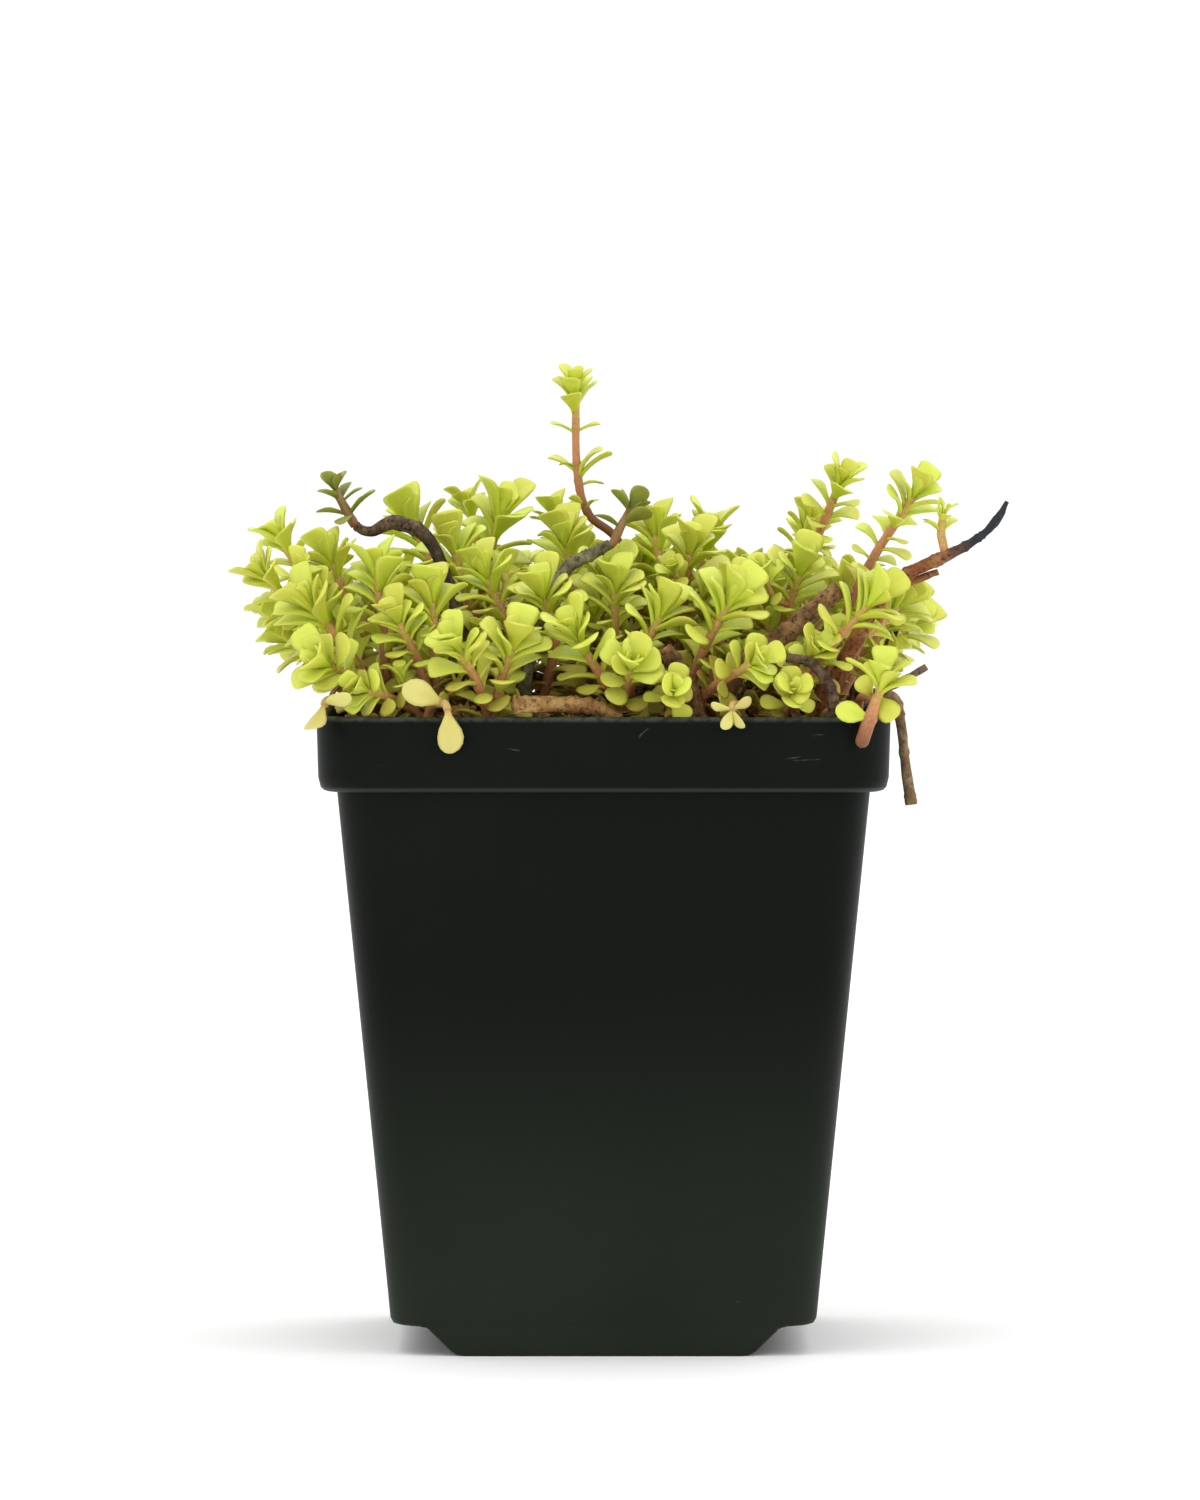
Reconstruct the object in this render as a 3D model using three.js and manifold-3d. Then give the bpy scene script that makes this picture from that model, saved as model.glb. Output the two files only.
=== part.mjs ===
// Golden stonecrop in a square nursery pot: pot, soil, old woody stems and young leafy ones.
// Millimetres, +Z up. The origin is the middle of the pot's flat foot, and the front faces -Y.
import * as THREE from 'three';
import { mergeVertices } from 'three/addons/utils/BufferGeometryUtils.js';
import Module from 'manifold-3d';

// Pot
const potHeight = 100.2;
const rimHalf = 44.5; // half the width across the rim band
const rimLineZ = 99.2; // where the band turns over into the lip
const rimBandZ = 88.4; // underside of the band
const wall = 1.3;
const bodyTopHalf = 41.4; // half width of the body just under the band
const bodyFootHalf = 32.8; // half width of the body at its lower edge
const bodyFootZ = 4.6; // height of the raised corners
const cornerRadius = 8;
const cornerSteps = 3;
const footHalfWidth = 22.8; // flat underside of the foot
const footSlope = 4.5; // sloped end of the foot, measured along X
const footInset = 0.25;
const footEase = 1.2; // the foot's slope turns gently into the body
const drainSlot = { length: 11, width: 2.8, x: 29.2, y: 20 };

// Soil
const gap = 0.3;
const soilTop = 97;
const soilLump = 0.8;
const soilSquares = 6; // the lumpy top is bent on this many squares each way
const holeDepth = 3.5;
const holeSides = 4;
const uprightAbove = 1.3; // a stem leaves its hole straight up to this height over the soil

// Leaves
const leafLength = 7.2;
const leafWidth = 5.2;
const leafThickness = 1.3;
const leafOutline = [[0.03, 0], [0.66, 0.5], [1, 0.25], [1, -0.25], [0.66, -0.5]];
const leafCrown = 0.62; // where along its length a leaf is thickest
const leafClearance = 0.45; // from leaf to leaf
const leafStemClearance = 0.85; // from leaf to stem
const spreadJitter = 5; // degrees
const turnJitter = 9; // degrees

// Pairs of leaves on a shoot, from the tip down: angle from the stem, distance below the tip, size
const rosettePairs = [
  { spread: 30, below: 0.5, size: 1 },
  { spread: 50, below: 2.4, size: 1 },
];
const stemPairs = [
  { spread: 66, below: 6.6, size: 0.88 },
  { spread: 74, below: 11.2, size: 0.8 },
  { spread: 78, below: 16, size: 0.72 },
];
const stemRadius = 0.85;
const stemTaper = [1, 0.9, 0.8];
const stemSides = 4;
const rootLimit = 38.5; // roots stay inside the pot
const rootPull = [0.82, 0.86]; // how far a root stands in from its tip, along X and Y
const rootSpacing = 2.2; // left between the holes of two stems
const forkAt = 0.3; // where a second shoot leaves the first
const middleAcross = 0.45; // a shoot's middle point: this part of the way across
const middleUp = 0.6; // and this part of the way up
const stemClear = 0.6; // wanted between the stems of two nodes
const stemProbes = 12;
const shootTries = 48;
const pushStep = 0.2;
const betterBy = 0.001; // a later try has to be this much clearer
const rootTries = 60;
const rootStep = 0.35;
const spiralTurn = 2.4; // radians from one try to the next

// Shoots that stand out from the front and flanks: growing tip, leaf pairs below the rosette, size
const frontShoots = [
  { tip: [-52.4, -20, 120.8], pairs: 2, size: 1 },
  { tip: [-50.7, 0, 125.7], pairs: 1, size: 0.95 },
  { tip: [-51.5, 8, 114.4], pairs: 1, size: 0.9 },
  { tip: [-49.2, -11, 110.6], pairs: 1, size: 0.85 },
  { tip: [-44.9, -32, 116.1], pairs: 1, size: 1.25 },
  { tip: [-42.5, -39, 108.1], pairs: 2, size: 1.15 },
  { tip: [-42.6, -15, 123], pairs: 1, size: 1.05 },
  { tip: [-35.3, -27, 121.3], pairs: 2, size: 1.1 },
  { tip: [-31.7, -35, 114.5], pairs: 1, size: 0.9 },
  { tip: [-30.1, 8, 127.9], pairs: 1, size: 1.3 },
  { tip: [-21.5, 22, 130.6], pairs: 1, size: 0.8 },
  { tip: [-16.8, 4, 129.3], pairs: 1, size: 1.3 },
  { tip: [-23.5, -8, 124.8], pairs: 1, size: 1.1 },
  { tip: [-18.1, -22, 120.8], pairs: 2, size: 1.05 },
  { tip: [-26.6, -31, 117.6], pairs: 2, size: 1.1 },
  { tip: [-22.1, -43, 110.3], pairs: 1, size: 1.05, root: [-23, -38.5] },
  { tip: [-14.2, -39, 110.5], pairs: 2, size: 1.15 },
  { tip: [-5.9, -6, 125.4], pairs: 1, size: 1.15 },
  { tip: [-7.4, 12, 129.4], pairs: 1, size: 0.75 },
  { tip: [-9.2, -28, 118.2], pairs: 1, size: 1.1 },
  { tip: [-4, -37, 111.9], pairs: 2, size: 1.15 },
  { tip: [0.6, -15, 120], pairs: 1, size: 1.2 },
  { tip: [4.2, -40, 107.6], pairs: 1, size: 0.95 },
  { tip: [8.3, -2, 127.2], pairs: 1, size: 1.05 },
  { tip: [16.7, 8, 126.3], pairs: 1, size: 1.15 },
  { tip: [13.7, -12, 124.5], pairs: 1, size: 1.1 },
  { tip: [8.8, -32, 115.3], pairs: 2, size: 1.05 },
  { tip: [19.4, -35, 117.3], pairs: 2, size: 1.25 },
  { tip: [23, -42, 108.5], pairs: 2, size: 0.8 },
  { tip: [32.3, 4, 127.4], pairs: 1, size: 0.95 },
  { tip: [30.6, -21, 121.5], pairs: 2, size: 1.1 },
  { tip: [37.1, -6, 135], pairs: 3, size: 0.85 },
  { tip: [41, -39.5, 117.2], pairs: 2, size: 1.15 },
  { tip: [48.2, -27, 133.9], pairs: 3, size: 0.9 },
  { tip: [46.2, -20, 116.5], pairs: 1, size: 1 },
  { tip: [32.4, -38.5, 109.4], pairs: 1, size: 0.8 },
  { tip: [-36.5, -41, 104.2], pairs: 0, size: 0.75 },
  { tip: [10.6, -41.5, 104], pairs: 0, size: 0.75 },
  { tip: [29, -42, 103.8], pairs: 0, size: 0.7 },
];

// The rest of the mat is set out by rule on a staggered grid
const matPitch = 10.4; // along X
const matHalf = 47; // along X
const matFront = -33; // the front row is set by hand
const matBack = 44;
const matRows = 9;
const matTop = 122;
const matFall = 0.0032; // how fast the mat falls away towards its edges
const matJitter = 2.1;
const matHeightJitter = 2.4;
const matSizes = [0.9, 1.15];
const edgeFrom = 36; // shoots out beyond this show their stems and carry more leaves
const edgePairs = 2;
const shootSpacing = 7.8;
const nodeReach = 12.5; // roots closer than this may share one base
const nodeShoots = 3;
const seed = 2028;

// Old woody stems: the points each passes through and its radius at them
const woodyStems = [
  {
    name: 'bark_twig_left',
    radii: [1, 1.1, 1.3, 1.6, 1.1, 0.9],
    points: [
      [-20, -10, 0], [-22, -11, 112], [-27, -12, 126], [-32.5, -12, 129.4], [-36.6, -12, 128],
      [-39.2, -12, 129],
    ],
  },
  {
    name: 'grey_twig_middle',
    radii: [1, 1, 1.05, 1, 0.8],
    points: [[-13, -25.5, 0], [-10.8, -24, 112], [-6.5, -22, 121.7], [-2, -20.5, 124.6], [1, -19.6, 126.2]],
  },
  {
    name: 'long_twig_right',
    radii: [1.6, 1.6, 1.5, 1.4, 1.2, 0.9, 1.1, 0.6],
    points: [[33, -29, 0], [38.5, -32, 110], [43, -34.6, 119], [47.4, -36.4, 122.2], [54, -38, 125.4],
      [58.4, -38.8, 128], [60.8, -39.3, 130.6], [62.4, -39.6, 133.4]],
  },
  {
    name: 'thick_stem_right',
    radii: [1.7, 1.7, 1.7, 1.8, 1.6],
    points: [[17, -31.5, 0], [21.3, -33, 107.5], [26, -33, 111], [32, -32, 115.6], [36.6, -31, 119.6]],
  },
  {
    name: 'branched_stem_front',
    radii: [1.8, 1.7, 1.4, 1.2],
    points: [[14.4, -37, 0], [13.8, -36.6, 102], [11.9, -35.6, 106.8], [9.4, -35.4, 110.6]],
  },
  {
    name: 'curved_twig_right',
    radii: [0.8, 0.9, 0.9, 0.9],
    points: [[35, -39, 0], [35.4, -40.4, 103.5], [32.4, -40, 108.2], [28.4, -39, 109.2]],
  },
  {
    name: 'rim_stub_right',
    radii: [1, 1, 0.95, 0.9],
    points: [[37.5, -25, 0], [41, -27, 102.6], [45.5, -29, 104.6], [50.2, -30, 107.4]],
  },
  {
    name: 'hanging_stem_right',
    radii: [0.9, 1, 1, 1, 0.9, 1.05],
    points: [
      [37.6, -17.5, 0], [41.6, -18.6, 102], [45.2, -19.4, 102.3], [46.5, -19.8, 98.6],
      [47.2, -20, 92.4], [48.2, -20.2, 85.4],
    ],
  },
  {
    name: 'tan_stub_front',
    radii: [1.2, 1.25, 1.3, 1.3],
    points: [[3, -38, 0], [-1.4, -39.4, 101.4], [-7, -41.4, 102], [-13.6, -44.4, 102.2]],
  },
  {
    name: 'knobbly_twig_right',
    radii: [0.9, 1, 0.9, 1.1, 0.8],
    points: [[38, -9, 0], [42.4, -9.6, 106], [45.2, -10, 110.4], [46.2, -10, 113.6], [45.2, -10, 116.6]],
  },
];
const woodySides = 5;

// Shoots that sprout from a woody stem or hang over the rim, with leaves placed by hand:
// each leaf is where it joins the stem (0 root, 1 tip), the way it points, and its size
const sideShoots = [
  {
    name: 'dark_rosette_left',
    slot: 'dark',
    path: [[-39.6, -12, 129.9], [-40.4, -12, 132.2], [-42.2, -12, 137.4]],
    leaves: [
      [0.3, [-1, -0.2, 0.1], 0.7], [0.3, [0.8, -0.3, 0.75], 0.8], [0.72, [-1, 0.2, 0.5], 0.55],
      [0.72, [1, -0.1, 0.7], 0.5], [0.98, [-0.6, -0.6, 1], 0.5], [0.98, [0.5, 0.6, 1], 0.5],
      [0.12, [-0.3, -0.9, -0.2], 0.6],
    ],
  },
  {
    name: 'dark_rosette_middle',
    slot: 'dark',
    path: [[1.6, -19.3, 126.6], [2.6, -18.3, 128.8], [4.2, -17, 131.6]],
    leaves: [
      [0.5, [-1, -0.3, 0.5], 0.6], [0.6, [1, -0.2, 0.4], 0.7], [0.95, [-0.7, -0.4, 0.9], 0.6],
      [0.95, [0.6, -0.5, 1], 0.65],
    ],
  },
  {
    name: 'sprout_on_twig_right',
    slot: 'leaf',
    path: [[52.6, -37.7, 126.5], [52.2, -38, 128.6], [52.5, -38.6, 131]],
    leaves: [[0.5, [-1, -0.1, 0.7], 0.45], [0.95, [0.8, -0.2, 0.7], 0.45], [0.95, [-0.2, -0.3, 1], 0.45]],
  },
  {
    name: 'tall_shoot_middle',
    slot: 'leaf',
    path: [
      [6, 4, 0], [5.4, 3.4, 113], [2.6, 2, 125.6], [-2.4, 2, 130.5], [-4.2, 2, 137.6],
      [-4.6, 2, 147.6],
    ],
    leaves: [
      [0.68, [-1, -0.3, 0.8], 0.45], [0.68, [0.6, -0.7, 0.6], 0.4], [0.93, [-1, -0.2, 0.4], 0.55],
      [0.93, [1, 0.1, 0.35], 0.55], [0.975, [-0.2, -1, 0.9], 0.7], [0.975, [0.3, 0.9, 1], 0.7],
      [0.995, [-0.75, 0.1, 1], 0.8], [0.995, [0.8, -0.2, 0.9], 0.75], [0.8, [1, -0.15, 1.5], 0.75],
      [0.8, [1, 0.1, 0.75], 0.95], [0.775, [0.95, 0.5, 0.1], 0.55], [0.84, [-1, -0.1, 0.1], 0.35],
    ],
  },
  {
    name: 'shoot_over_rim_right',
    slot: 'leaf',
    path: [
      [39.6, -34.5, 0], [39.7, -37, 102.6], [41.2, -43, 103.4], [42.2, -46.2, 103.2],
      [42.6, -46.4, 105.2],
    ],
    tail: [[42.2, -46.2, 103.6], [40.9, -46.6, 99.8], [39.5, -47, 95.6]],
    leaves: [
      [0.86, [1, -0.1, 0.35], 0.9], [0.97, [-0.9, -0.2, 0.75], 0.95], [0.97, [0.9, 0.2, 0.7], 0.85],
      [0.99, [-0.1, -1, 0.8], 0.8], [0.99, [0.15, 0.3, 1], 0.9],
    ],
    tailLeaves: [[0.45, [-0.95, -0.2, 0.25], 0.75]],
  },
  {
    name: 'pale_leaf_front',
    slot: 'pale',
    path: [[-27.5, -37.5, 0], [-26.6, -39.4, 101.6], [-24.6, -45, 102.4], [-24, -46.6, 101.4]],
    leaves: [[0.97, [0.05, -0.1, -1], 0.95], [0.72, [-1, -0.25, 0.4], 0.95]],
  },
  {
    name: 'sprig_over_rim_front',
    slot: 'pale',
    path: [[21.5, -37, 0], [21, -40, 101.6], [20, -45.2, 102.2], [19.8, -46.4, 101.4]],
    leaves: [
      [0.96, [-1, -0.2, 0.3], 0.42], [0.96, [0.9, -0.2, 0.6], 0.42],
      [0.97, [-0.5, -0.2, -1], 0.42], [0.97, [0.6, -0.2, -0.9], 0.42],
    ],
  },
  {
    name: 'pale_leaf_left_corner',
    slot: 'pale',
    path: [[-38.6, -36, 0], [-39.6, -37.4, 102], [-42.4, -41, 102.8], [-43.2, -42.2, 102]],
    leaves: [[0.97, [-0.5, -0.8, -0.75], 0.8], [0.9, [0.8, -0.8, 0.3], 0.75]],
  },
];
const sideRadius = 0.7;
const tailRadius = 1.1;
const shortEdge = 0.1; // edges shorter than this are closed up

const leafColour = '#b9c24c';
const darkLeafColour = '#6f7f2b';
const paleLeafColour = '#c9bb78';
const barkColour = '#6b5138';
const soilColour = '#3a2c20';
const potColour = '#1e231f';

const wasm = await Module();
wasm.setup();

// Vector helpers on plain [x, y, z] lists
const add = (a, b, k = 1) => [a[0] + k * b[0], a[1] + k * b[1], a[2] + k * b[2]];
const sub = (a, b) => add(a, b, -1);
const dot = (a, b) => a[0] * b[0] + a[1] * b[1] + a[2] * b[2];
const cross = (a, b) => [a[1] * b[2] - a[2] * b[1], a[2] * b[0] - a[0] * b[2], a[0] * b[1] - a[1] * b[0]];
const length = (a) => Math.sqrt(dot(a, a));
const unit = (a) => a.map((v) => v / length(a));
const clamp = (v, limit) => Math.max(-limit, Math.min(limit, v));
const radians = (degrees) => (degrees * Math.PI) / 180;
const flat = (a, b) => Math.hypot(a[0] - b[0], a[1] - b[1]);

// The same seed always gives the same plant
function makeRandom(start) {
  const modulus = 2147483647;
  let state = start;
  return (low = 0, high = 1) => {
    state = (state * 48271) % modulus;
    return low + ((high - low) * state) / modulus;
  };
}
const random = makeRandom(seed);

// A closed three.js geometry as a solid that can be joined and cut
function toSolid(geometry) {
  const bare = geometry.clone();
  bare.deleteAttribute('normal');
  bare.deleteAttribute('uv');
  const merged = mergeVertices(bare.index ? bare.toNonIndexed() : bare, 1e-4);
  const solid = new wasm.Manifold(new wasm.Mesh({
    numProp: 3,
    vertProperties: new Float32Array(merged.attributes.position.array),
    triVerts: new Uint32Array(merged.index.array),
  }));
  if (solid.status() !== 'NoError' || solid.volume() <= 0) {
    throw new Error(`a surface is open or inside out: ${solid.status()} ${solid.volume()}`);
  }
  return solid;
}

function toMesh(solid, name, colour, roughness) {
  const { vertProperties, triVerts } = solid.getMesh();
  const geometry = new THREE.BufferGeometry();
  geometry.setAttribute('position', new THREE.BufferAttribute(new Float32Array(vertProperties), 3));
  geometry.setIndex(new THREE.BufferAttribute(new Uint32Array(triVerts), 1));
  geometry.computeVertexNormals();
  const material = new THREE.MeshStandardMaterial({ color: colour, roughness, metalness: 0 });
  const mesh = new THREE.Mesh(geometry, material);
  mesh.name = name;
  return mesh;
}

const join = (solids) => wasm.Manifold.union(solids);

// A pocket that the leaves seal between them is filled, and a loose scrap is dropped
const largestPiece = (solid) => solid.decompose().reduce((a, b) => (a.volume() > b.volume() ? a : b));

// Rounded square: the point at step k of a ring of the given half width
const ringSteps = 4 * (cornerSteps + 1);
function squarePoint(half, k) {
  const radius = Math.min(cornerRadius * (half / rimHalf), half);
  const corner = Math.floor(k / (cornerSteps + 1)) % 4;
  const angle = (corner + (k % (cornerSteps + 1)) / cornerSteps) * (Math.PI / 2);
  const centre = half - radius;
  const towards = [[1, 1], [-1, 1], [-1, -1], [1, -1]][corner];
  return [towards[0] * centre + radius * Math.cos(angle), towards[1] * centre + radius * Math.sin(angle)];
}

// A lathe profile of [half width, height] turned into a body of rounded-square section
function squareLoft(profile) {
  const points = profile.map(([half, z]) => new THREE.Vector2(half, z));
  const geometry = new THREE.LatheGeometry(points, ringSteps);
  const position = geometry.attributes.position;
  for (let i = 0; i < position.count; i += 1) {
    const half = profile[i % profile.length][0];
    const k = Math.floor(i / profile.length) % ringSteps;
    const [x, y] = half > 0 ? squarePoint(half, k) : [0, 0];
    position.setXYZ(i, x, y, position.getY(i));
  }
  return toSolid(geometry);
}

const bodyTaper = (bodyTopHalf - bodyFootHalf) / (rimBandZ - bodyFootZ);
const bodyHalfAt = (z) => bodyFootHalf + bodyTaper * (z - bodyFootZ);

// Front outline of the foot: flat below, sloped at both ends, running up into the body
function footBlock(halfWidth, slope, low, high, halfDepth) {
  const outline = new THREE.Shape();
  outline.moveTo(-halfWidth - slope - footEase, high);
  outline.lineTo(-halfWidth - slope - footEase, bodyFootZ - 0.05);
  outline.lineTo(-halfWidth - slope, bodyFootZ - 0.45);
  outline.lineTo(-halfWidth - 0.9, low + 0.6);
  outline.lineTo(-halfWidth + 0.5, low);
  outline.lineTo(halfWidth - 0.5, low);
  outline.lineTo(halfWidth + 0.9, low + 0.6);
  outline.lineTo(halfWidth + slope, bodyFootZ - 0.45);
  outline.lineTo(halfWidth + slope + footEase, bodyFootZ - 0.05);
  outline.lineTo(halfWidth + slope + footEase, high);
  const block = new THREE.ExtrudeGeometry(outline, { depth: 2 * halfDepth, bevelEnabled: false, steps: 1 });
  block.rotateX(Math.PI / 2);
  block.translate(0, halfDepth, 0);
  const position = block.attributes.position;
  for (let i = 0; i < position.count; i += 1) {
    // the foot narrows downwards with the body's taper
    const y = position.getY(i);
    const taper = bodyHalfAt(position.getZ(i)) - bodyFootHalf;
    position.setY(i, y + Math.sign(y) * taper);
  }
  return toSolid(block);
}

function potInside(offset, floorZ) {
  return squareLoft([
    [0, floorZ],
    [bodyHalfAt(floorZ) - wall - offset - 1, floorZ],
    [bodyHalfAt(floorZ) - wall - offset, floorZ + 1],
    [bodyTopHalf - wall - offset, rimBandZ + 0.6],
    [rimHalf - wall - 0.7 - offset, rimBandZ + 2.6],
    [rimHalf - wall - 0.3 - offset, potHeight + 1],
    [0, potHeight + 1],
  ]);
}

function makePot() {
  const outside = squareLoft([
    [0, bodyFootZ],
    [bodyFootHalf - 0.9, bodyFootZ],
    [bodyFootHalf + 0.1, bodyFootZ + 1],
    [bodyTopHalf, rimBandZ],
    [rimHalf - 1.5, rimBandZ],
    [rimHalf - 0.6, rimBandZ + 0.7],
    [rimHalf - 0.25, rimBandZ + 2.2],
    [rimHalf, rimLineZ],
    [rimHalf - 0.35, potHeight - 0.3],
    [rimHalf - 1, potHeight],
    [0, potHeight],
  ]);
  const foot = footBlock(footHalfWidth, footSlope, 0, bodyFootZ + 1, bodyFootHalf - footInset);
  const footDepth = bodyFootHalf - footInset - wall;
  const footInside = footBlock(footHalfWidth - wall, footSlope, wall, bodyFootZ + wall + 0.7, footDepth);
  let pot = outside.add(foot).subtract(potInside(0, bodyFootZ + wall)).subtract(footInside);
  for (const sx of [-1, 1]) {
    for (const sy of [-1, 1]) {
      const slot = new THREE.BoxGeometry(drainSlot.width, drainSlot.length, 8);
      slot.translate(sx * drainSlot.x, sy * drainSlot.y, bodyFootZ);
      pot = pot.subtract(toSolid(slot));
    }
  }
  return pot;
}

// Soil fills the pot to just below the lip, its top a little lumpy, with a plain hole for each stem
function makeSoil(holes) {
  const inner = potInside(gap, bodyFootZ + wall + gap);
  const fill = footBlock(footHalfWidth - wall - gap, footSlope, wall + gap, bodyFootZ + wall + 0.5,
    bodyFootHalf - footInset - wall - gap);
  const lid = new THREE.BoxGeometry(2 * rimHalf, 2 * rimHalf, soilTop, soilSquares, soilSquares, 1);
  lid.translate(0, 0, soilTop / 2);
  const position = lid.attributes.position;
  for (let i = 0; i < position.count; i += 1) {
    if (position.getZ(i) > 1) {
      const x = position.getX(i);
      const y = position.getY(i);
      position.setZ(i, soilTop + soilLump * Math.sin(0.19 * x + 1) * Math.cos(0.23 * y + 0.4));
    } else {
      position.setZ(i, -1);
    }
  }
  const soil = inner.add(fill).intersect(toSolid(lid));
  const cuts = holes.map(({ x, y, radius }) => {
    const hole = new THREE.CylinderGeometry(radius, radius, 2 * holeDepth, holeSides);
    hole.rotateX(Math.PI / 2);
    hole.translate(x, y, soilTop);
    return toSolid(hole);
  });
  return soil.subtract(join(cuts));
}

// Smooth path through points, and its direction
function pathThrough(points) {
  return new THREE.CatmullRomCurve3(points.map((p) => new THREE.Vector3(...p)), false, 'catmullrom', 0.5);
}
const pointOn = (path, t) => path.getPoint(t).toArray();

function tangentOn(path, t) {
  const step = 0.01;
  return unit(sub(pointOn(path, Math.min(1, t + step)), pointOn(path, Math.max(0, t - step))));
}

// Two directions square to a tangent
function sideways(tangent) {
  const across = Math.abs(tangent[1]) < 0.9 ? [0, 1, 0] : [1, 0, 0];
  const first = unit(cross(across, tangent));
  return [first, cross(tangent, first)];
}

// A path out of the soil starts at the bottom of its hole and stands upright to just above the surface
function rooted(points) {
  const [x, y] = points[0];
  return [[x, y, soilTop - holeDepth + gap], [x, y, soilTop + uprightAbove], ...points.slice(1)];
}

// A ring at each point of the path, and one more halfway where the stem is woody
function stopsAlong(count, halves) {
  const stops = [0];
  for (let i = 1; i < count; i += 1) {
    if (halves && i > 1) {
      stops.push((i - 0.5) / (count - 1));
    }
    stops.push(i / (count - 1));
  }
  return stops;
}

// A stem turned as a lathe body, then bent along its path
function stemSolid(stem) {
  const { path, stops, radiusAt, sides } = stem;
  const rings = stops.map((t, i) => new THREE.Vector2(1, i));
  const profile = [new THREE.Vector2(0, 0), ...rings, new THREE.Vector2(0, stops.length - 1)];
  const geometry = new THREE.LatheGeometry(profile, sides);
  const position = geometry.attributes.position;
  for (let i = 0; i < position.count; i += 1) {
    const t = stops[Math.round(position.getY(i))];
    const [first, second] = sideways(tangentOn(path, t));
    const radius = radiusAt(t);
    const out = add(first.map((v) => v * position.getZ(i) * radius), second, position.getX(i) * radius);
    position.setXYZ(i, ...add(pointOn(path, t), out));
  }
  return toSolid(geometry);
}

function makeStem(points, radii, sides, halves) {
  const spans = radii.length - 1;
  const radiusAt = (t) => {
    const k = Math.min(spans - 1, Math.floor(t * spans));
    return radii[k] + (radii[k + 1] - radii[k]) * (t * spans - k);
  };
  return { path: pathThrough(points), stops: stopsAlong(points.length, halves), radiusAt, sides };
}

// What a new stem or leaf keeps clear of: short stretches of every stem, and the leaves already set
const stretches = [];
const leaves = [];

function addStretches(stem, node) {
  const count = 8;
  for (let i = 0; i < count; i += 1) {
    stretches.push({
      node,
      from: pointOn(stem.path, i / count),
      to: pointOn(stem.path, (i + 1) / count),
      radius: stem.radiusAt((i + 0.5) / count),
    });
  }
}

function distanceToStretch(point, { from, to }) {
  const along = sub(to, from);
  const t = Math.max(0, Math.min(1, dot(sub(point, from), along) / dot(along, along)));
  return length(sub(point, add(from, along, t)));
}

// A leaf leaves its stem at base and points along d; s is its width direction and n its upper face
function makeLeaf(base, tangent, pointing, size, node) {
  const d = unit(pointing);
  const s = unit(cross(tangent, d));
  return { node, base, d, s, n: cross(d, s), length: leafLength * size, width: leafWidth * size };
}

const leafPoint = (leaf, u, v) => add(add(leaf.base, leaf.d, u * leaf.length), leaf.s, v * leaf.width);
const leafProbes = [[0.35, 0], [0.66, 0], [0.66, 0.5], [0.66, -0.5], [0.85, 0.36], [0.85, -0.36],
  [1, 0], [1, 0.25], [1, -0.25]];

// A leaf with clear space round it is taken as an ellipsoid
function insideLeaf(point, leaf) {
  const q = sub(point, leafPoint(leaf, 0.58, 0));
  const u = dot(q, leaf.d) / (0.46 * leaf.length + leafClearance);
  const v = dot(q, leaf.s) / (0.5 * leaf.width + leafClearance);
  const w = dot(q, leaf.n) / (leafThickness / 2 + leafClearance);
  return u * u + v * v + w * w < 1;
}

// The pot's lip and the soil stop a leaf too
function inPotOrSoil([x, y, z]) {
  const half = Math.max(Math.abs(x), Math.abs(y));
  const clear = leafStemClearance;
  if (half < rimHalf - wall - clear) {
    return z < soilTop + soilLump + clear;
  }
  return half < rimHalf + clear && z < potHeight + clear;
}

function isClear(leaf) {
  const probes = leafProbes.map(([u, v]) => leafPoint(leaf, u, v));
  if (probes.some(inPotOrSoil)) {
    return false;
  }
  const middle = leafPoint(leaf, leafCrown, 0);
  for (const other of leaves) {
    const apart = length(sub(middle, leafPoint(other, leafCrown, 0)));
    if (other.node !== leaf.node && apart < leaf.length + other.length) {
      if (probes.some((p) => insideLeaf(p, other))) {
        return false;
      }
      if (leafProbes.some(([u, v]) => insideLeaf(leafPoint(other, u, v), leaf))) {
        return false;
      }
    }
  }
  return !stretches.some((stretch) => (
    stretch.node !== leaf.node
    && probes.some((p) => distanceToStretch(p, stretch) < stretch.radius + leafStemClearance)
  ));
}

// Ways to bend a leaf that would cross a neighbour: change of spread, turn round the stem, size
const leafBends = [
  [0, 0, 1], [-9, 0, 1], [0, 20, 1], [0, -20, 1], [-16, 12, 1], [-16, -12, 1], [10, 0, 1],
  [-10, 34, 1], [-10, -34, 1], [-22, 0, 0.95], [14, 22, 0.9], [14, -22, 0.9],
  [-24, 24, 0.85], [-24, -24, 0.85],
];

function placeLeaf(stem, t, spread, turn, size, node) {
  const tangent = tangentOn(stem.path, t);
  const [first, second] = sideways(tangent);
  const base = pointOn(stem.path, t);
  for (const [bend, twist, shrink] of leafBends) {
    const angle = radians(turn + twist);
    const out = add(first.map((v) => v * Math.cos(angle)), second, Math.sin(angle));
    const tilt = radians(spread + bend);
    const pointing = add(tangent.map((v) => v * Math.cos(tilt)), out, Math.sin(tilt));
    const leaf = makeLeaf(base, tangent, pointing, size * shrink, node);
    if (isClear(leaf)) {
      leaves.push(leaf);
      return;
    }
  }
}

// How far along a path a point lies that is a given distance below its end
function paramBelow(path, below) {
  const tip = pointOn(path, 1);
  for (let t = 1; t > 0; t -= 0.01) {
    if (length(sub(tip, pointOn(path, t))) >= below) {
      return t;
    }
  }
  return 0;
}

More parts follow.
